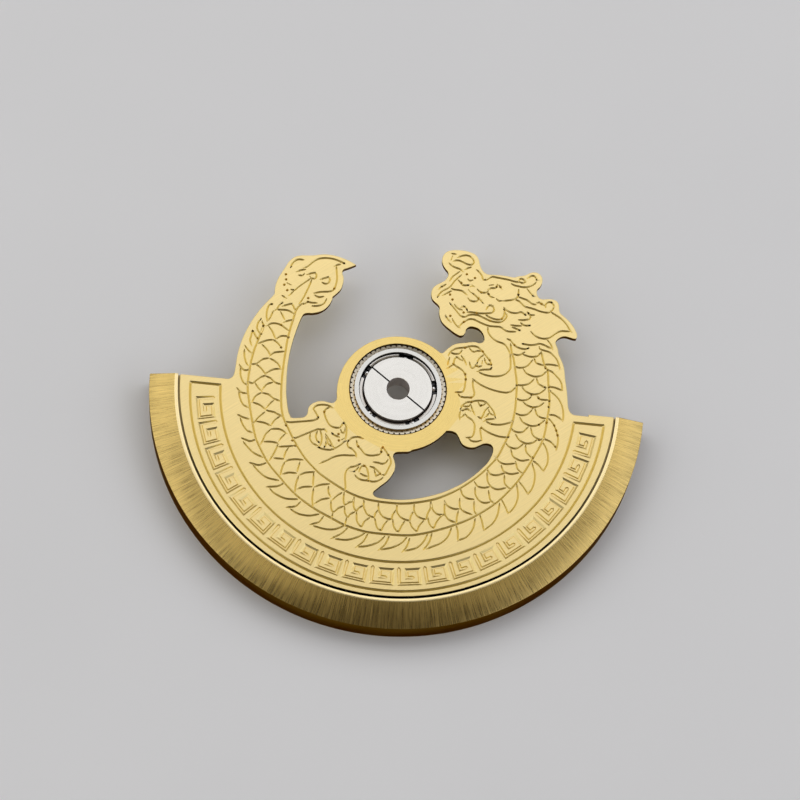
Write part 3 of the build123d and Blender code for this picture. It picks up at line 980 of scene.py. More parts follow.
left_fins = [
    [(-3.35, -7.65), (-3.55, -7.95), (-3.95, -8.12)],
    [(-3.75, -8.2), (-3.2, -8.3), (-2.7, -8.27), (-2.25, -8.05)],
    [(-4.63, -6.95), (-4.85, -7.2), (-5.27, -7.3)],
    [(-5.05, -7.4), (-4.65, -7.6), (-4.1, -7.65), (-3.6, -7.52)],
    [(-5.6, -5.98), (-5.9, -6.18), (-6.42, -6.27)],
    [(-6.25, -6.38), (-5.95, -6.62), (-5.4, -6.82), (-4.8, -6.8)],
    [(-6.65, -4.95), (-7.0, -5.1), (-7.45, -5.02)],
    [(-7.25, -5.15), (-6.95, -5.45), (-6.5, -5.75), (-5.9, -5.85)],
    [(-7.35, -3.7), (-7.6, -3.8), (-8.02, -3.68)],
    [(-7.9, -3.9), (-7.6, -4.2), (-7.3, -4.45), (-6.85, -4.63)],
    [(-7.8, -2.55), (-8.05, -2.5), (-8.35, -2.38)],
    [(-8.2, -2.6), (-8.05, -2.9), (-7.8, -3.2), (-7.55, -3.3)],
    [(-8.05, -1.12), (-8.3, -1.08), (-8.55, -0.87)],
    [(-8.45, -1.05), (-8.35, -1.4), (-8.15, -1.75), (-7.88, -1.9)],
    [(-8.05, 0.28), (-8.2, 0.2), (-8.35, 0.25), (-8.55, 0.47)],
    [(-8.5, 0.3), (-8.45, -0.1), (-8.25, -0.5), (-8.03, -0.62)],
    [(-8.0, 1.25), (-8.15, 1.35), (-8.37, 1.6)],
    [(-8.4, 1.35), (-8.35, 1.0), (-8.22, 0.65), (-8.1, 0.5)],
    [(-8.05, 1.71), (-8.15, 1.98), (-8.12, 2.25), (-8.06, 2.53), (-7.96, 2.39), (-7.87, 2.23),
     (-7.76, 2.12)],
    [(-7.6, 2.39), (-7.73, 2.5), (-7.85, 2.75), (-7.82, 3.03), (-7.71, 3.25)],
    [(-7.58, 2.44), (-7.53, 2.66), (-7.51, 2.89), (-7.6, 3.1)],
    [(-7.37, 3.25), (-7.42, 3.62), (-7.4, 3.89), (-7.33, 4.12), (-7.19, 4.19)],
    [(-7.1, 3.75), (-7.19, 3.44), (-7.33, 3.19)]
]
head_lines = [
    [(2.28, 8.2), (2.46, 8.19)],
    [(2.3, 8.02), (2.25, 7.86)],
    [(2.62, 8.03), (2.75, 8.1), (2.92, 8.16), (3.1, 8.18), (3.3, 8.12), (3.45, 7.98), (3.5, 7.84),
     (3.44, 7.71), (3.33, 7.65), (3.15, 7.66), (2.95, 7.74), (2.75, 7.82), (2.55, 7.83), (2.4, 7.78)],
    [(2.18, 7.6), (2.35, 7.47), (2.57, 7.38), (2.78, 7.33), (2.93, 7.22)],
    [(3.07, 7.36), (3.18, 7.44), (3.34, 7.5)],
    [(3.7, 7.38), (3.85, 7.26), (3.97, 7.13), (4.03, 6.96), (4.1, 6.85), (4.25, 6.87), (4.38, 6.97),
     (4.55, 7.07), (4.82, 7.05), (5.17, 7.02), (5.49, 6.98), (5.72, 6.93), (5.97, 6.9)],
    [(2.73, 7.17), (2.53, 6.99), (2.38, 6.83), (2.28, 6.62)],
    [(2.84, 6.97), (2.64, 6.76), (2.5, 6.57), (2.4, 6.38), (2.25, 6.19), (2.03, 6.03), (1.86, 5.9),
     (1.74, 5.72), (1.68, 5.58)],
    [(2.05, 6.34), (1.93, 6.25), (1.82, 6.19), (1.73, 6.06)],
    [(2.38, 5.98), (2.19, 5.87), (1.97, 5.71)],
    [(2.75, 6.65), (2.91, 6.52), (2.99, 6.41), (3.12, 6.4), (3.28, 6.44)],
    [(3.27, 6.77), (3.36, 6.7), (3.48, 6.75)],
    [(3.42, 6.38), (3.5, 6.45), (3.6, 6.4)],
    [(2.42, 6.13), (2.56, 6.09), (2.73, 6.09), (2.97, 6.06), (3.12, 5.98), (3.24, 5.88)],
    [(3.35, 6.15), (3.43, 6.06)],
    [(3.55, 5.99), (3.73, 5.87), (3.91, 5.73), (4.05, 5.62), (4.17, 5.49)],
    [(3.91, 5.73), (3.86, 5.61), (3.75, 5.53), (3.59, 5.51), (3.45, 5.56), (3.36, 5.66)],
    [(3.82, 6.23), (3.95, 6.13), (4.09, 6.08), (4.25, 6.1), (4.37, 6.2)],
    [(4.39, 6.08), (4.48, 5.97), (4.59, 5.88), (4.7, 5.86)],
    [(4.4, 6.33), (4.55, 6.4), (4.73, 6.42), (4.84, 6.5), (4.86, 6.62)],
    [(4.46, 6.56), (4.62, 6.6)],
    [(4.98, 6.59), (5.11, 6.44)],
    [(4.9, 5.79), (5.03, 5.69), (5.15, 5.71)],
    [(5.28, 5.72), (5.49, 5.77), (5.7, 5.82), (5.88, 5.92), (6.0, 6.03), (6.04, 6.2)],
    [(6.04, 6.2), (6.04, 6.45)],
    [(6.11, 6.03), (6.31, 5.97), (6.54, 5.9), (6.72, 5.79), (6.85, 5.71), (7.0, 5.69)],
    [(5.92, 5.86), (6.13, 5.78), (6.31, 5.64), (6.47, 5.51), (6.79, 5.45), (7.02, 5.4), (7.25, 5.33),
     (7.47, 5.29), (7.7, 5.29), (7.84, 5.37), (7.95, 5.5), (8.0, 5.63)],
    [(5.65, 6.76), (5.81, 6.69), (5.99, 6.67), (6.22, 6.64), (6.45, 6.66), (6.67, 6.76), (6.83, 6.87),
     (6.92, 6.98)],
    [(6.02, 7.02), (6.06, 7.1), (6.15, 7.13), (6.27, 7.09), (6.38, 6.99), (6.3, 6.92), (6.17, 6.88),
     (6.05, 6.93)],
    [(6.49, 7.22), (6.62, 7.33), (6.76, 7.37), (6.9, 7.31), (6.98, 7.18)],
    [(6.53, 6.53), (6.67, 6.38), (6.84, 6.2)],
    [(7.08, 5.81), (7.22, 5.84), (7.33, 5.77), (7.5, 5.69)],
    [(7.56, 5.62), (7.56, 5.77), (7.64, 5.88), (7.8, 5.92), (7.92, 5.89), (8.0, 5.79), (8.02, 5.68)],
    [(7.93, 5.31), (8.14, 5.2), (8.36, 5.08), (8.55, 4.95), (8.73, 4.77), (8.86, 4.6), (8.97, 4.42),
     (9.05, 4.33)],
    [(6.9, 4.07), (7.06, 3.92), (7.25, 3.8), (7.47, 3.75), (7.65, 3.75), (7.84, 3.81), (7.98, 3.91),
     (8.15, 4.07), (8.34, 4.22), (8.55, 4.3), (8.73, 4.31), (8.92, 4.31)],
    [(7.81, 3.68), (7.93, 3.56), (8.04, 3.4), (8.11, 3.2)],
    [(6.48, 3.33), (6.65, 3.31), (6.93, 3.3), (7.15, 3.35), (7.38, 3.43), (7.61, 3.39), (7.84, 3.3),
     (8.02, 3.23)],
    [(5.65, 3.52), (5.81, 3.46), (5.95, 3.32), (6.04, 3.21), (6.2, 3.1), (6.43, 3.04), (6.65, 3.04),
     (6.79, 3.11)],
    [(5.34, 5.31), (5.47, 5.2), (5.65, 5.1), (5.84, 5.07), (6.02, 5.08), (6.25, 5.17), (6.38, 5.12),
     (6.5, 5.04)],
    [(6.62, 5.18), (6.72, 5.08), (6.8, 5.05), (6.96, 5.07)],
    [(6.8, 5.02), (6.76, 4.85), (6.61, 4.76), (6.4, 4.71), (6.18, 4.7)],
    [(6.31, 4.52), (6.43, 4.44), (6.58, 4.4), (6.77, 4.44)],
    [(5.79, 4.35), (6.02, 4.34), (6.3, 4.36)],
    [(5.88, 4.22), (6.06, 4.17), (6.25, 4.1)],
    [(2.4, 5.26), (2.54, 5.12), (2.72, 4.93), (2.91, 4.71), (3.07, 4.57), (3.24, 4.56), (3.4, 4.67),
     (3.6, 4.73), (3.86, 4.74), (4.05, 4.7), (4.27, 4.61), (4.45, 4.54), (4.64, 4.47), (4.82, 4.44),
     (5.0, 4.43), (5.18, 4.46), (5.32, 4.55), (5.42, 4.67), (5.5, 4.83), (5.47, 4.98), (5.38, 5.08)],
    [(2.66, 5.2), (2.8, 5.06), (2.95, 4.97), (3.04, 4.95)],
    [(3.02, 5.12), (3.1, 5.17), (3.22, 5.15), (3.31, 5.06), (3.34, 4.97)],
    [(3.39, 4.85), (3.6, 4.87), (3.86, 4.86), (4.0, 4.85), (4.27, 4.87), (4.45, 4.9), (4.64, 4.95),
     (4.76, 5.06), (4.79, 5.2), (4.73, 5.33), (4.61, 5.39), (4.49, 5.36), (4.42, 5.27), (4.38, 5.15)],
    [(4.41, 4.77), (4.54, 4.7), (4.73, 4.63), (4.95, 4.59), (5.14, 4.61), (5.25, 4.69), (5.33, 4.82),
     (5.37, 5.0), (5.36, 5.25)],
    [(3.03, 4.04), (3.1, 4.16), (3.22, 4.27), (3.42, 4.42), (3.61, 4.47), (3.77, 4.45), (3.95, 4.38),
     (4.18, 4.29), (4.41, 4.21), (4.64, 4.17), (4.91, 4.17), (5.14, 4.18), (5.3, 4.13), (5.42, 4.05),
     (5.54, 3.98), (5.66, 3.96), (5.84, 3.97), (6.02, 3.99)],
    [(2.22, 4.5), (2.32, 4.37), (2.42, 4.26), (2.51, 4.19)],
    [(2.6, 4.35), (2.73, 4.15), (2.88, 3.99), (3.0, 3.91)],
    [(4.54, 4.03), (4.57, 3.84), (4.68, 3.65), (4.86, 3.47), (5.05, 3.34), (5.23, 3.28), (5.4, 3.24),
     (5.55, 3.16), (5.66, 3.04), (5.75, 2.9), (5.83, 2.72)]
]
tail_lines = [
    [(-6.38, 6.46), (-6.32, 6.68), (-6.18, 6.86), (-5.98, 6.95), (-5.75, 6.95)],
    [(-5.65, 6.5), (-5.5, 6.58), (-5.37, 6.72), (-5.2, 6.9), (-4.98, 7.07), (-4.75, 7.15), (-4.48, 7.19),
     (-4.16, 7.18), (-3.89, 7.12), (-3.68, 7.05), (-3.53, 6.99)],
    [(-4.02, 6.78), (-3.88, 6.85), (-3.75, 6.9)],
    [(-3.92, 6.72), (-3.86, 6.34), (-3.82, 6.08), (-3.85, 5.77), (-3.92, 5.46), (-4.03, 5.32), (-4.16, 5.25),
     (-4.37, 5.21), (-4.63, 5.17), (-4.96, 5.07)],
    [(-6.02, 6.23), (-5.82, 6.33), (-5.6, 6.39)],
    [(-5.88, 6.02), (-5.74, 6.02), (-5.64, 6.12)],
    [(-5.44, 6.12), (-5.25, 6.2), (-5.02, 6.26), (-4.95, 6.12), (-4.98, 5.97), (-5.07, 5.9), (-5.2, 5.92),
     (-5.27, 6.0)],
    [(-5.3, 5.85), (-5.48, 5.71), (-5.71, 5.49), (-5.91, 5.29), (-6.05, 5.13), (-6.22, 5.14)],
    [(-6.12, 5.04), (-6.31, 4.8)],
    [(-6.46, 5.49), (-6.3, 5.42)],
    [(-5.2, 5.78), (-5.28, 5.49), (-5.37, 5.22), (-5.48, 4.9), (-5.58, 4.65), (-5.72, 4.38)],
    [(-4.69, 5.92), (-4.48, 6.01), (-4.28, 6.09), (-4.2, 5.95), (-4.27, 5.76), (-4.42, 5.67), (-4.58, 5.72)],
    [(-4.9, 4.93), (-4.71, 4.85), (-4.48, 4.91)],
    [(-5.6, 4.35), (-5.44, 4.4), (-5.28, 4.52), (-5.12, 4.49), (-4.8, 4.5)],
    [(-5.0, 4.3), (-4.75, 4.33), (-4.53, 4.42), (-4.38, 4.57), (-4.3, 4.76)],
    [(-6.66, 4.72), (-6.47, 4.62)],
    [(-6.65, 4.32), (-6.78, 4.19), (-6.9, 3.95), (-7.03, 3.81)],
    [(-6.9, 3.92), (-6.78, 3.89), (-6.55, 3.91), (-6.33, 3.91), (-6.15, 3.85), (-5.95, 3.75)],
    [(-6.6, 4.13), (-6.33, 4.24), (-6.1, 4.31), (-6.01, 4.16), (-5.9, 3.96)],
    [(-6.65, 3.75), (-6.53, 3.57), (-6.44, 3.4)],
    [(-6.44, 3.2), (-6.24, 3.3), (-5.98, 3.38)]
]
upper_claws = [
    [(2.54, 2.25), (2.61, 2.44), (2.79, 2.6), (3.02, 2.7), (3.25, 2.75), (3.4, 2.78), (3.56, 2.85),
     (3.79, 2.9), (4.02, 2.89), (4.2, 2.8), (4.36, 2.66), (4.52, 2.48), (4.65, 2.33), (4.77, 2.2),
     (4.84, 2.09), (4.88, 1.93)],
    [(2.68, 2.39), (2.84, 2.35), (3.04, 2.37), (3.15, 2.45), (3.22, 2.58)],
    [(2.6, 2.06), (2.56, 1.9), (2.54, 1.73)],
    [(2.55, 1.5), (2.7, 1.63), (2.84, 1.76), (2.87, 2.0), (2.95, 2.17), (3.06, 2.16), (3.18, 2.07),
     (3.3, 2.02)],
    [(2.84, 1.76), (3.02, 1.64), (3.2, 1.55), (3.36, 1.45), (3.47, 1.33), (3.54, 1.18), (3.57, 0.95),
     (3.56, 0.73), (3.54, 0.45), (3.48, 0.24), (3.36, 0.18), (3.1, 0.15)],
    [(3.27, 0.02), (3.38, -0.07), (3.56, -0.1), (3.77, -0.08), (3.93, -0.07), (4.06, 0.05), (4.1, 0.23),
     (4.04, 0.41), (3.98, 0.68), (3.96, 0.92)],
    [(3.98, 0.99), (4.15, 0.87), (4.38, 0.73), (4.65, 0.61), (4.93, 0.52), (5.2, 0.46), (5.6, 0.41),
     (5.84, 0.42), (6.02, 0.5), (6.15, 0.63), (6.26, 0.77)],
    [(4.17, 1.48), (4.34, 1.57), (4.52, 1.61), (4.75, 1.64), (4.87, 1.67), (4.91, 1.76)],
    [(4.3, 1.41), (4.47, 1.34), (4.72, 1.29), (5.02, 1.27), (5.25, 1.3), (5.47, 1.37), (5.7, 1.52),
     (5.86, 1.72), (5.92, 1.87), (5.92, 2.05), (5.9, 2.3), (5.86, 2.6)],
    [(3.25, 2.27), (3.34, 2.16), (3.45, 2.02), (3.53, 1.82)],
    [(3.67, 2.74), (3.77, 2.64), (3.9, 2.58), (4.04, 2.65), (4.22, 2.65)],
    [(3.71, 1.92), (3.79, 1.69), (3.88, 1.63), (3.97, 1.7), (4.02, 1.81), (4.12, 1.79), (4.22, 1.74),
     (4.34, 1.8)],
    [(4.1, 1.96), (4.13, 2.09), (4.22, 2.27), (4.4, 2.45)],
    [(4.5, 2.24), (4.56, 2.07), (4.68, 1.95), (4.84, 1.94)],
    [(4.38, 2.06), (4.38, 1.97)],
    [(3.42, -0.76), (3.48, -0.6), (3.59, -0.46), (3.75, -0.36), (3.98, -0.31), (4.14, -0.25), (4.36, -0.2),
     (4.59, -0.2), (4.82, -0.29), (5.0, -0.47), (5.16, -0.66), (5.27, -0.85), (5.33, -1.06)],
    [(3.61, -0.61), (3.75, -0.61), (3.86, -0.57), (3.93, -0.47)],
    [(3.43, -0.89), (3.39, -1.12), (3.43, -1.35)],
    [(3.48, -1.26), (3.57, -1.17), (3.66, -1.04)],
    [(3.53, -0.85), (3.67, -0.78), (3.8, -0.75), (3.95, -0.83)],
    [(3.73, -1.05), (3.82, -1.18), (4.02, -1.3), (4.16, -1.41), (4.24, -1.57), (4.26, -1.85), (4.23, -2.12),
     (4.15, -2.29), (4.03, -2.36), (3.88, -2.38)],
    [(4.04, -2.47), (4.14, -2.54), (4.32, -2.56), (4.5, -2.53), (4.62, -2.47)],
    [(4.7, -2.41), (4.64, -2.21), (4.59, -1.98), (4.56, -1.78), (4.62, -1.73), (4.82, -1.86), (5.05, -1.98),
     (5.27, -2.06), (5.55, -2.13), (5.82, -2.15), (6.0, -2.14), (6.1, -2.09)],
    [(4.72, -1.35), (4.82, -1.26), (5.0, -1.21), (5.24, -1.16)],
    [(4.88, -1.37), (5.1, -1.46), (5.41, -1.48), (5.68, -1.44), (5.95, -1.35), (6.14, -1.25), (6.25, -1.14)],
    [(4.0, -0.57), (4.07, -0.75), (4.2, -1.0)],
    [(4.36, -0.31), (4.47, -0.47), (4.59, -0.44), (4.71, -0.34)],
    [(4.9, -0.53), (4.75, -0.7), (4.68, -0.88), (4.64, -1.03), (4.55, -1.19), (4.42, -1.14)],
    [(4.95, -0.71), (5.05, -0.87), (5.19, -0.94)],
    [(4.93, -0.87), (4.86, -1.02), (4.76, -1.1)]
]
lower_claws = [
    [(-3.4, -1.43), (-3.6, -1.35), (-3.87, -1.32), (-4.15, -1.37), (-4.33, -1.46), (-4.4, -1.6),
     (-4.3, -1.74), (-4.19, -1.9), (-4.1, -2.06)],
    [(-4.12, -2.14), (-4.33, -2.26), (-4.6, -2.33), (-4.96, -2.4), (-5.28, -2.46), (-5.55, -2.51),
     (-5.78, -2.5)],
    [(-5.35, -3.37), (-5.19, -3.36), (-4.92, -3.21), (-4.6, -3.03), (-4.28, -2.85), (-4.05, -2.74),
     (-3.87, -2.75), (-3.71, -2.71), (-3.6, -2.81)],
    [(-3.6, -1.46), (-3.75, -1.55), (-3.81, -1.71), (-3.74, -1.95), (-3.62, -2.19), (-3.46, -2.42),
     (-3.28, -2.53), (-3.1, -2.56), (-2.93, -2.53), (-2.83, -2.4), (-2.78, -2.28), (-2.7, -2.24),
     (-2.6, -2.34), (-2.54, -2.52), (-2.53, -2.84), (-2.55, -3.12)],
    [(-2.83, -2.66), (-2.79, -2.78), (-2.7, -2.81), (-2.63, -2.69), (-2.62, -2.56)],
    [(-4.44, -3.08), (-4.44, -3.28), (-4.35, -3.46), (-4.19, -3.6), (-4.0, -3.67)],
    [(-3.92, -3.78), (-3.74, -3.83), (-3.55, -3.85), (-3.33, -3.85), (-3.15, -3.78), (-2.95, -3.63),
     (-2.76, -3.47), (-2.65, -3.34), (-2.55, -3.27)],
    [(-4.09, -2.9), (-4.13, -3.05), (-4.12, -3.2), (-4.04, -3.37), (-3.94, -3.48)],
    [(-3.9, -2.86), (-3.83, -3.05), (-3.8, -3.28), (-3.82, -3.48), (-3.87, -3.65)],
    [(-3.6, -3.0), (-3.46, -3.17), (-3.33, -3.37), (-3.19, -3.58), (-3.09, -3.71)],
    [(-3.58, -3.15), (-3.49, -3.37), (-3.42, -3.51), (-3.28, -3.6)],
    [(-3.56, -3.4), (-3.56, -3.55), (-3.61, -3.7)],
    [(-3.29, -2.9), (-3.12, -3.0), (-2.9, -3.07)],
    [(-2.74, -3.19), (-2.63, -3.11)],
    [(-2.39, -3.22), (-2.26, -3.06), (-2.08, -2.99), (-1.85, -2.96), (-1.64, -3.02)],
    [(-2.42, -3.3), (-2.41, -3.47), (-2.31, -3.6), (-2.17, -3.65), (-2.04, -3.75), (-1.93, -3.88),
     (-1.89, -4.06)],
    [(-1.94, -3.2), (-1.9, -3.37), (-1.83, -3.5), (-1.7, -3.6), (-1.56, -3.75), (-1.42, -3.89),
     (-1.26, -3.94), (-1.04, -3.93), (-0.81, -3.87), (-0.64, -3.78), (-0.59, -3.62), (-0.6, -3.48),
     (-0.53, -3.39), (-0.4, -3.52), (-0.26, -3.7), (-0.1, -3.92), (-0.02, -4.2), (-0.1, -4.45),
     (-0.22, -4.79), (-0.32, -4.96), (-0.45, -4.96)],
    [(-3.75, -4.64), (-3.4, -4.43), (-3.17, -4.27), (-2.9, -4.15), (-2.58, -4.07), (-2.26, -4.05),
     (-2.0, -4.03)],
    [(-0.93, -4.29), (-0.72, -4.3), (-0.49, -4.34), (-0.32, -4.26), (-0.22, -4.1)],
    [(-2.3, -5.98), (-2.33, -5.65), (-2.38, -5.34), (-2.38, -5.06), (-2.31, -4.84), (-2.15, -4.7),
     (-1.95, -4.65), (-1.79, -4.56), (-1.66, -4.48)],
    [(-1.92, -4.91), (-1.83, -4.81), (-1.74, -4.68)],
    [(-1.67, -4.88), (-1.63, -4.7), (-1.56, -4.59), (-1.42, -4.54), (-1.29, -4.63), (-1.2, -4.84),
     (-1.15, -5.06), (-1.13, -5.32)],
    [(-1.56, -5.02), (-1.4, -5.09), (-1.21, -5.14)],
    [(-1.84, -5.14), (-1.7, -5.27), (-1.54, -5.35), (-1.35, -5.37), (-1.14, -5.36), (-0.95, -5.4),
     (-0.72, -5.36), (-0.54, -5.25), (-0.41, -5.13)],
    [(-1.08, -4.56), (-0.9, -4.61), (-0.72, -4.72), (-0.54, -4.88), (-0.44, -4.96)],
    [(-0.85, -4.77), (-0.79, -4.93), (-0.74, -5.04), (-0.64, -4.98), (-0.55, -4.89)]
]
tool_marks = [
    (3.16, 7.07), (3.62, 6.9), (2.9, 6.53), (1.87, 6.21), (1.69, 5.59), (2.35, 5.78), (2.5, 5.5),
    (2.4, 5.23), (3.33, 5.0), (3.16, 4.81), (2.24, 4.47), (2.46, 4.53), (3.9, 5.73), (4.15, 5.5),
    (4.42, 6.04), (4.03, 6.09), (5.04, 6.52), (4.84, 6.52), (6.04, 6.19), (6.84, 6.2), (6.97, 7.17),
    (7.33, 5.77), (7.86, 5.91), (6.5, 5.04), (6.66, 5.15), (6.77, 4.44), (6.25, 4.1), (6.5, 3.33),
    (6.79, 3.11), (6.04, 3.22), (5.25, 4.67), (4.62, 4.48), (3.22, 4.27), (3.86, 4.86), (5.35, 5.24),
    (3.28, 6.44), (-6.37, 6.48), (-6.6, 6.0), (-6.56, 5.7), (-6.63, 5.38), (-6.44, 5.08), (-5.27, 4.74),
    (-5.27, 4.53), (-3.92, 5.46), (-3.53, 6.99), (-6.65, 4.31), (-7.19, 4.18), (-7.71, 3.24), (-7.51, 2.89),
    (-7.6, 2.4), (-8.06, 2.52), (-6.58, 3.03), (-6.12, 2.36), (-6.45, 1.72), (-7.76, 2.12), (3.4, 2.77),
    (4.36, 2.66), (4.76, 2.21), (4.87, 1.95), (4.9, 1.74), (4.11, 1.97), (4.09, 1.79), (2.84, 1.77),
    (3.52, 1.26), (3.57, 0.96), (3.93, -0.07), (3.98, -0.32), (4.48, -0.48), (5.32, -1.04), (4.54, -1.19),
    (3.43, -0.74), (3.54, -0.85), (4.61, -1.74), (6.08, -2.1), (5.14, -1.46), (6.34, 0.92), (-3.81, -1.71),
    (-4.1, -2.05), (-2.72, -2.24), (-5.76, -2.7), (-5.35, -3.52), (-5.17, -3.8), (-3.95, -3.47),
    (-3.91, -3.78), (-3.61, -3.69), (-3.3, -3.59), (-3.27, -2.9), (-2.94, -2.9), (-2.89, -3.26),
    (-2.56, -3.28), (-2.39, -3.22), (-1.83, -3.49), (-0.58, -3.65), (-0.53, -3.4), (-0.2, -3.8),
    (-1.67, -4.49), (-1.92, -4.91), (-1.42, -4.55), (-1.14, -5.36), (-0.55, -4.9), (7.8, 2.06), (7.94, 1.97),
    (8.08, 0.99), (7.86, 0.94), (8.14, 0.19), (8.12, -0.15), (8.08, -1.06), (7.68, -1.23), (7.75, -2.1),
    (8.5, -1.19), (8.62, -1.46), (8.71, -1.72), (8.64, -2.4), (7.55, 0.29), (7.15, 0.43), (7.27, -0.3),
    (7.48, -3.15)
]


def panel_lines():
    """The long curved frame under the dragon: two arcs joined by straight ends."""
    radii = (panel_inner_radius, panel_outer_radius)
    lines = []
    for radius in radii:
        left = 180 - math.degrees(math.asin((panel_left_level - art_centre[1]) / radius))
        right = 360 + math.degrees(math.asin((panel_right_level - art_centre[1]) / radius))
        arc = arc_points(art_centre, radius, left, right)
        lines.append(Groove(arc, panel_line, tapered=False, smooth=False))
    for level, side in ((panel_left_level, -1), (panel_right_level, 1)):
        reach = [art_centre[0] + side * math.sqrt(radius ** 2 - (level - art_centre[1]) ** 2)
                 for radius in radii]
        lines.append(Groove([(reach[0], level), (reach[1], level)], panel_line, tapered=False))
    return lines


def fret():
    """A plain running key pattern in the panel, drawn in one unit and repeated round the arc."""
    start = 180 + fret_margin
    pitch = (180 - 2 * fret_margin) / fret_units
    lines = []
    for k in range(fret_units):
        points = []
        for across, up in fret_unit_shares:
            turn = math.radians(start + (k + fret_start_share + fret_width_share * across) * pitch)
            radius = fret_inner_radius + up * fret_height
            points.append((art_centre[0] + radius * math.cos(turn), art_centre[1] + radius * math.sin(turn)))
        lines.append(Groove(points, fret_line, tapered=False, smooth=False, slot=True))
    return lines


def engraving():
    """Every groove and tool mark on the plate."""
    tables = (right_scales, lower_right_scales, bottom_scales, lower_left_scales, tail_scales, bottom_fins,
              right_fins, left_fins, head_lines, tail_lines, upper_claws, lower_claws)
    grooves = [Groove(stroke, fine_line) for table in tables for stroke in table]
    grooves += [Groove(border, border_line) for border in (inner_border, outer_border)]
    grooves += [Pit(place) for place in tool_marks]
    return grooves + panel_lines() + fret()


# Engraved plate
def inside(points, loops):
    """Whether each point lies inside the loops, by counting crossings."""
    crossings = np.zeros(len(points), int)
    for loop in loops:
        for (ax, ay), (bx, by) in zip(loop, np.roll(loop, -1, 0)):
            if ay == by:
                continue
            level = (points[:, 1] >= min(ay, by)) & (points[:, 1] < max(ay, by))
            crossings += level & (points[:, 0] < ax + (points[:, 1] - ay) * (bx - ax) / (by - ay))
    return crossings % 2 == 1


def triangulate(loops, grooves):
    """Triangles that fill the loops, with an edge along every line of every groove."""
    points, edges = [], []

    def add(line, closed):
        first = len(points)
        points.extend(Vector(p) for p in line)
        last = len(points) - 1
        edges.extend((k, k + 1) for k in range(first, last))
        if closed:
            edges.append((last, first))

    for loop in loops:
        add(loop, True)
    for groove in grooves:
        for line, closed in groove.lines():
            add(line, closed)
    found = delaunay_2d_cdt(points, edges, [], 0, top_tolerance)
    where = np.array([tuple(p) for p in found[0]])
    faces = np.array(found[2])
    centres = where[faces].mean(1)
    return where, faces[inside(centres, loops)]


def boundary(faces):
    """The boundary loops of triangles, as lists of point numbers."""
    edges = set()
    for a, b, c in faces.tolist():
        for edge in ((a, b), (b, c), (c, a)):
            if edge[::-1] in edges:
                edges.remove(edge[::-1])
            else:
                edges.add(edge)
    after = {}
    for a, b in edges:
        after.setdefault(a, []).append(b)
    loops = []
    while after:
        start = next(iter(after))
        loop = [start]
        here = after[start].pop()
        if not after[start]:
            del after[start]
        while here != start:
            loop.append(here)
            following = after[here].pop()
            if not after[here]:
                del after[here]
            here = following
        loops.append(loop)
    return loops


def engraved_top(loops):
    """The plate's top: the place and the depth of each point, and the triangles between them."""
    grooves = engraving()
    where, faces = triangulate([shifted(loop, plate_edge) for loop in loops], grooves)
    used = np.unique(faces)
    renumber = np.full(len(where), -1)
    renumber[used] = np.arange(len(used))
    where, faces = where[used], renumber[faces]
    depth = np.zeros(len(where))
    for groove in grooves:
        depth = np.maximum(depth, groove.depth(where))
    return where, depth, faces


def wall(ring, line, depth, points, polygons):
    """Adds the two chamfers and the wall under one boundary ring, and gives the lowest ring's numbers."""
    count = len(ring)
    wide = shifted(line, -plate_edge)
    levels = [ring]
    for corners, heights in ((wide, -depth - plate_edge), (wide, np.full(count, plate_bottom + plate_edge)),
                             (line, np.full(count, plate_bottom))):
        first = len(points)
        points.extend((x, y, z) for (x, y), z in zip(corners, heights))
        levels.append(list(range(first, first + count)))
    for upper, lower in zip(levels, levels[1:]):
        for k in range(count):
            n = (k + 1) % count
            polygons.append((upper[n], upper[k], lower[k], lower[n]))
    return levels[-1]


def underside(lines, numbers):
    """Triangles that fill the lowest rings, looking down, by the numbers of their points."""
    edges = []
    first = 0
    for line in lines:
        count = len(line)
        edges += [(first + k, first + (k + 1) % count) for k in range(count)]
        first += count
    points = [Vector(p) for line in lines for p in line]
    found = delaunay_2d_cdt(points, edges, [], 0, underside_tolerance)
    flat = np.array([tuple(p) for p in found[0]])
    faces = np.array(found[2])
    kept = faces[inside(flat[faces].mean(1), lines)]
    back = [numbers[origins[0]] if origins else None for origins in found[3]]
    corners = [[back[k] for k in face] for face in kept.tolist()]
    return [tuple(reversed(face)) for face in corners if None not in face]


def dragon_plate():
    """The engraved plate: top with real grooves, small chamfers, walls and a plain underside."""
    where, depth, faces = engraved_top(outline_loops())
    points = [(x, y, -d) for (x, y), d in zip(where, depth)]
    polygons = [tuple(face) for face in faces.tolist()]
    lines, numbers = [], []
    for ring in boundary(faces):
        lines.append(where[ring])
        numbers += wall(ring, where[ring], depth[ring], points, polygons)
    polygons += underside(lines, numbers)
    piece = mesh_piece("engraved_plate", points, polygons, plate_gold, hub_gold)
    piece.data.validate()
    for face in piece.data.polygons:
        x, y, z = face.center / MM
        face.material_index = 1 if math.hypot(x - art_centre[0], y - art_centre[1]) < hub_circle else 0
    # Painted shade on the plate's side walls
    repaint(piece, side_gold_painted_shade, lambda centre, normal: abs(normal.z) < plate_wall_lean)
    # Painted shade on the plate's outer wall beside the seam
    repaint(piece, seam_gold_painted_shade, lambda centre, normal:
            centre.xy.length > seam_radius and centre.y < rim_high.y and centre.z < -2 * plate_edge)
    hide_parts("dragon_plate")
    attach(piece, "rotor")


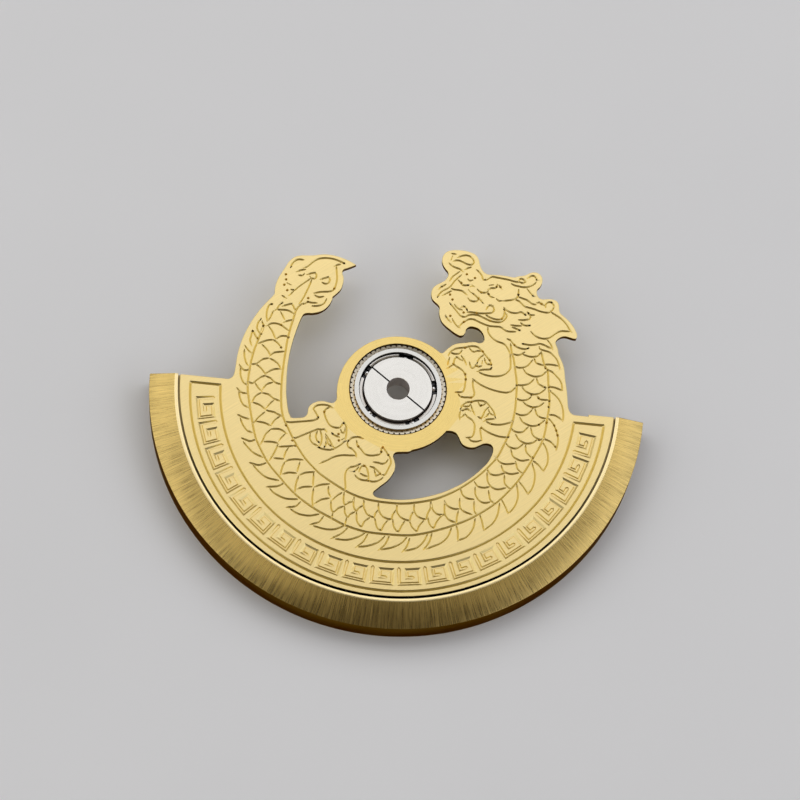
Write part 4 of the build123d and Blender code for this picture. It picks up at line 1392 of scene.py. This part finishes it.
def ball_cage():
    """The cage with its pockets: painted dark as shade, with a bright top that falls towards the axis inside
    its crest.
    """
    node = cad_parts["ball_cage"]
    piece = link("cage_ring", node.data.copy())
    top = max(vert.co.z for vert in piece.data.vertices) / MM
    inner = min(vert.co.xy.length for vert in piece.data.vertices) / MM - cage_overrun
    reach = cage_crest - cage_crown
    fall = reach * math.tan(math.radians(cage_lean))
    shoulder = [
        (inner, top - cage_shoulder),
        (cage_crown, top - fall),
        (cage_crest + reach, top + fall),
        (inner, top + fall),
    ]
    carve(piece, revolve("shoulder_cutter", shoulder))
    piece.data.materials.clear()
    # Painted shade over the whole cage, then its top gets the steel
    piece.data.materials.append(track_steel_painted_shade)
    repaint(piece, cage_steel, lambda centre, normal:
            normal.z > level_face and centre.z > top - cage_shoulder)
    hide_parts("ball_cage")
    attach(piece, "cage")


def toothed_ring():
    """The ring of teeth round the bearing: a row in the plate's hole and a wider one under the plate."""
    low, high = (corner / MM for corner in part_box("toothed_ring"))
    lower_tip = high.x
    upper_tip = lower_tip - seat_width
    bore = outer_race_radius + press_gap
    notch_floor = high.z - bore_notch_height
    fall = tooth_ring_dish / (upper_tip - bore)
    pitch = 2 * math.pi / tooth_count
    profile = [
        (-tooth_foot_share, tooth_depth, 0.0),
        (-tooth_tip_share, 0.0, 0.0),
        (-bore_notch_share, 0.0, 0.0),
        (0.0, 0.0, bore_notch_depth),
        (bore_notch_share, 0.0, 0.0),
        (tooth_tip_share, 0.0, 0.0),
        (tooth_foot_share, tooth_depth, 0.0),
    ]
    rings = []
    for tooth in range(tooth_count):
        for share, cut, notch in profile:
            section = [
                (bore, low.z),
                (lower_tip - cut, low.z),
                (lower_tip - cut, plate_bottom),
                (upper_tip - cut, plate_bottom),
                (upper_tip - cut, high.z - tooth_chamfer_drop),
                (upper_tip - cut - tooth_chamfer, high.z - fall * (cut + tooth_chamfer)),
                (bore + notch, high.z - tooth_ring_dish + fall * notch),
                (bore + notch, notch_floor),
                (bore, notch_floor),
            ]
            rings.append(polar_ring(section, (tooth + share) * pitch))
    piece = sweep("tooth_ring", rings, True, tooth_steel)
    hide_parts("toothed_ring")
    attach(piece, "rotor")


def paint_balls():
    """The balls keep their solids and get a mirror finish."""
    for name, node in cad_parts.items():
        if name.startswith("ball_") and name != "ball_cage":
            node.data.materials.clear()
            node.data.materials.append(ball_steel)


# Camera, floor and lamps
def camera():
    """The camera at the photograph's angle, with the bearing's centre at its place in the photograph."""
    e, roll = math.radians(camera_elevation), math.radians(camera_roll)
    ahead = Vector((0, math.cos(e), -math.sin(e)))
    over = Vector((0, math.sin(e), math.cos(e)))
    side = Vector((1, 0, 0))
    image_x = math.cos(roll) * side - math.sin(roll) * over
    image_y = math.sin(roll) * side + math.cos(roll) * over
    across = (part_column - photo_size / 2) / photo_focus
    up = -(part_row - photo_size / 2) / photo_focus
    place = -camera_distance * (across * image_x + up * image_y + ahead)
    turn = Matrix.Rotation(math.radians(camera_turn), 4, "Z")
    axes = Matrix((image_x, image_y, -ahead)).transposed().to_4x4()
    axes.translation = place * MM
    data = bpy.data.cameras.new("camera")
    data.sensor_width = sensor
    data.lens = photo_focus * sensor / photo_size
    data.clip_start = camera_near
    data.clip_end = camera_far
    eye = bpy.data.objects.new("camera", data)
    eye.matrix_world = turn @ axes
    bpy.context.scene.collection.objects.link(eye)
    bpy.context.scene.camera = eye


def stage():
    """A plain pale floor under the part."""
    level = rim_low.z - floor_gap
    corners = [
        (-floor_reach, -floor_reach, level),
        (floor_reach, -floor_reach, level),
        (floor_reach, floor_reach, level),
        (-floor_reach, floor_reach, level),
    ]
    n = Nodes("floor_paint")
    x, y, z = n.place()
    mottle = n.noise(n.times(x, floor_mottle), n.times(y, floor_mottle), z)
    n.set(n.shader, "Base Color", n.mix(mottle, shade(floor_dark), shade(floor_light)))
    n.set(n.shader, "Roughness", floor_roughness)
    n.set(n.shader, "Specular IOR Level", floor_gloss)
    floor = mesh_piece("floor", corners, [(0, 1, 2, 3)], n.material)


def softbox(name, tilt, turn, width, depth, brightness, colour):
    """An area lamp that faces the part, at a tilt from straight up and turned about Z."""
    data = bpy.data.lights.new(name, "AREA")
    data.color = colour
    data.shape = "RECTANGLE"
    data.size, data.size_y = width, depth
    data.energy = brightness * math.pi * width * depth
    lamp = bpy.data.objects.new(name, data)
    spin = Matrix.Rotation(math.radians(turn), 4, "Z") @ Matrix.Rotation(math.radians(-tilt), 4, "X")
    lamp.matrix_world = spin @ Matrix.Translation((0, 0, lamp_distance))
    bpy.context.scene.collection.objects.link(lamp)


def lights():
    """The softboxes and a dim warm world."""
    for name, settings in lamps.items():
        softbox(name, *settings)
    world = bpy.data.worlds.new("studio")
    world.use_nodes = True
    background = world.node_tree.nodes["Background"]
    background.inputs["Color"].default_value = shade(world_colour)
    background.inputs["Strength"].default_value = world_strength
    bpy.context.scene.world = world
    bpy.context.scene.view_settings.view_transform = "Standard"


rim_weight()
outer_race()
inner_race()
dragon_plate()
ball_cage()
toothed_ring()
paint_balls()
camera()
stage()
lights()
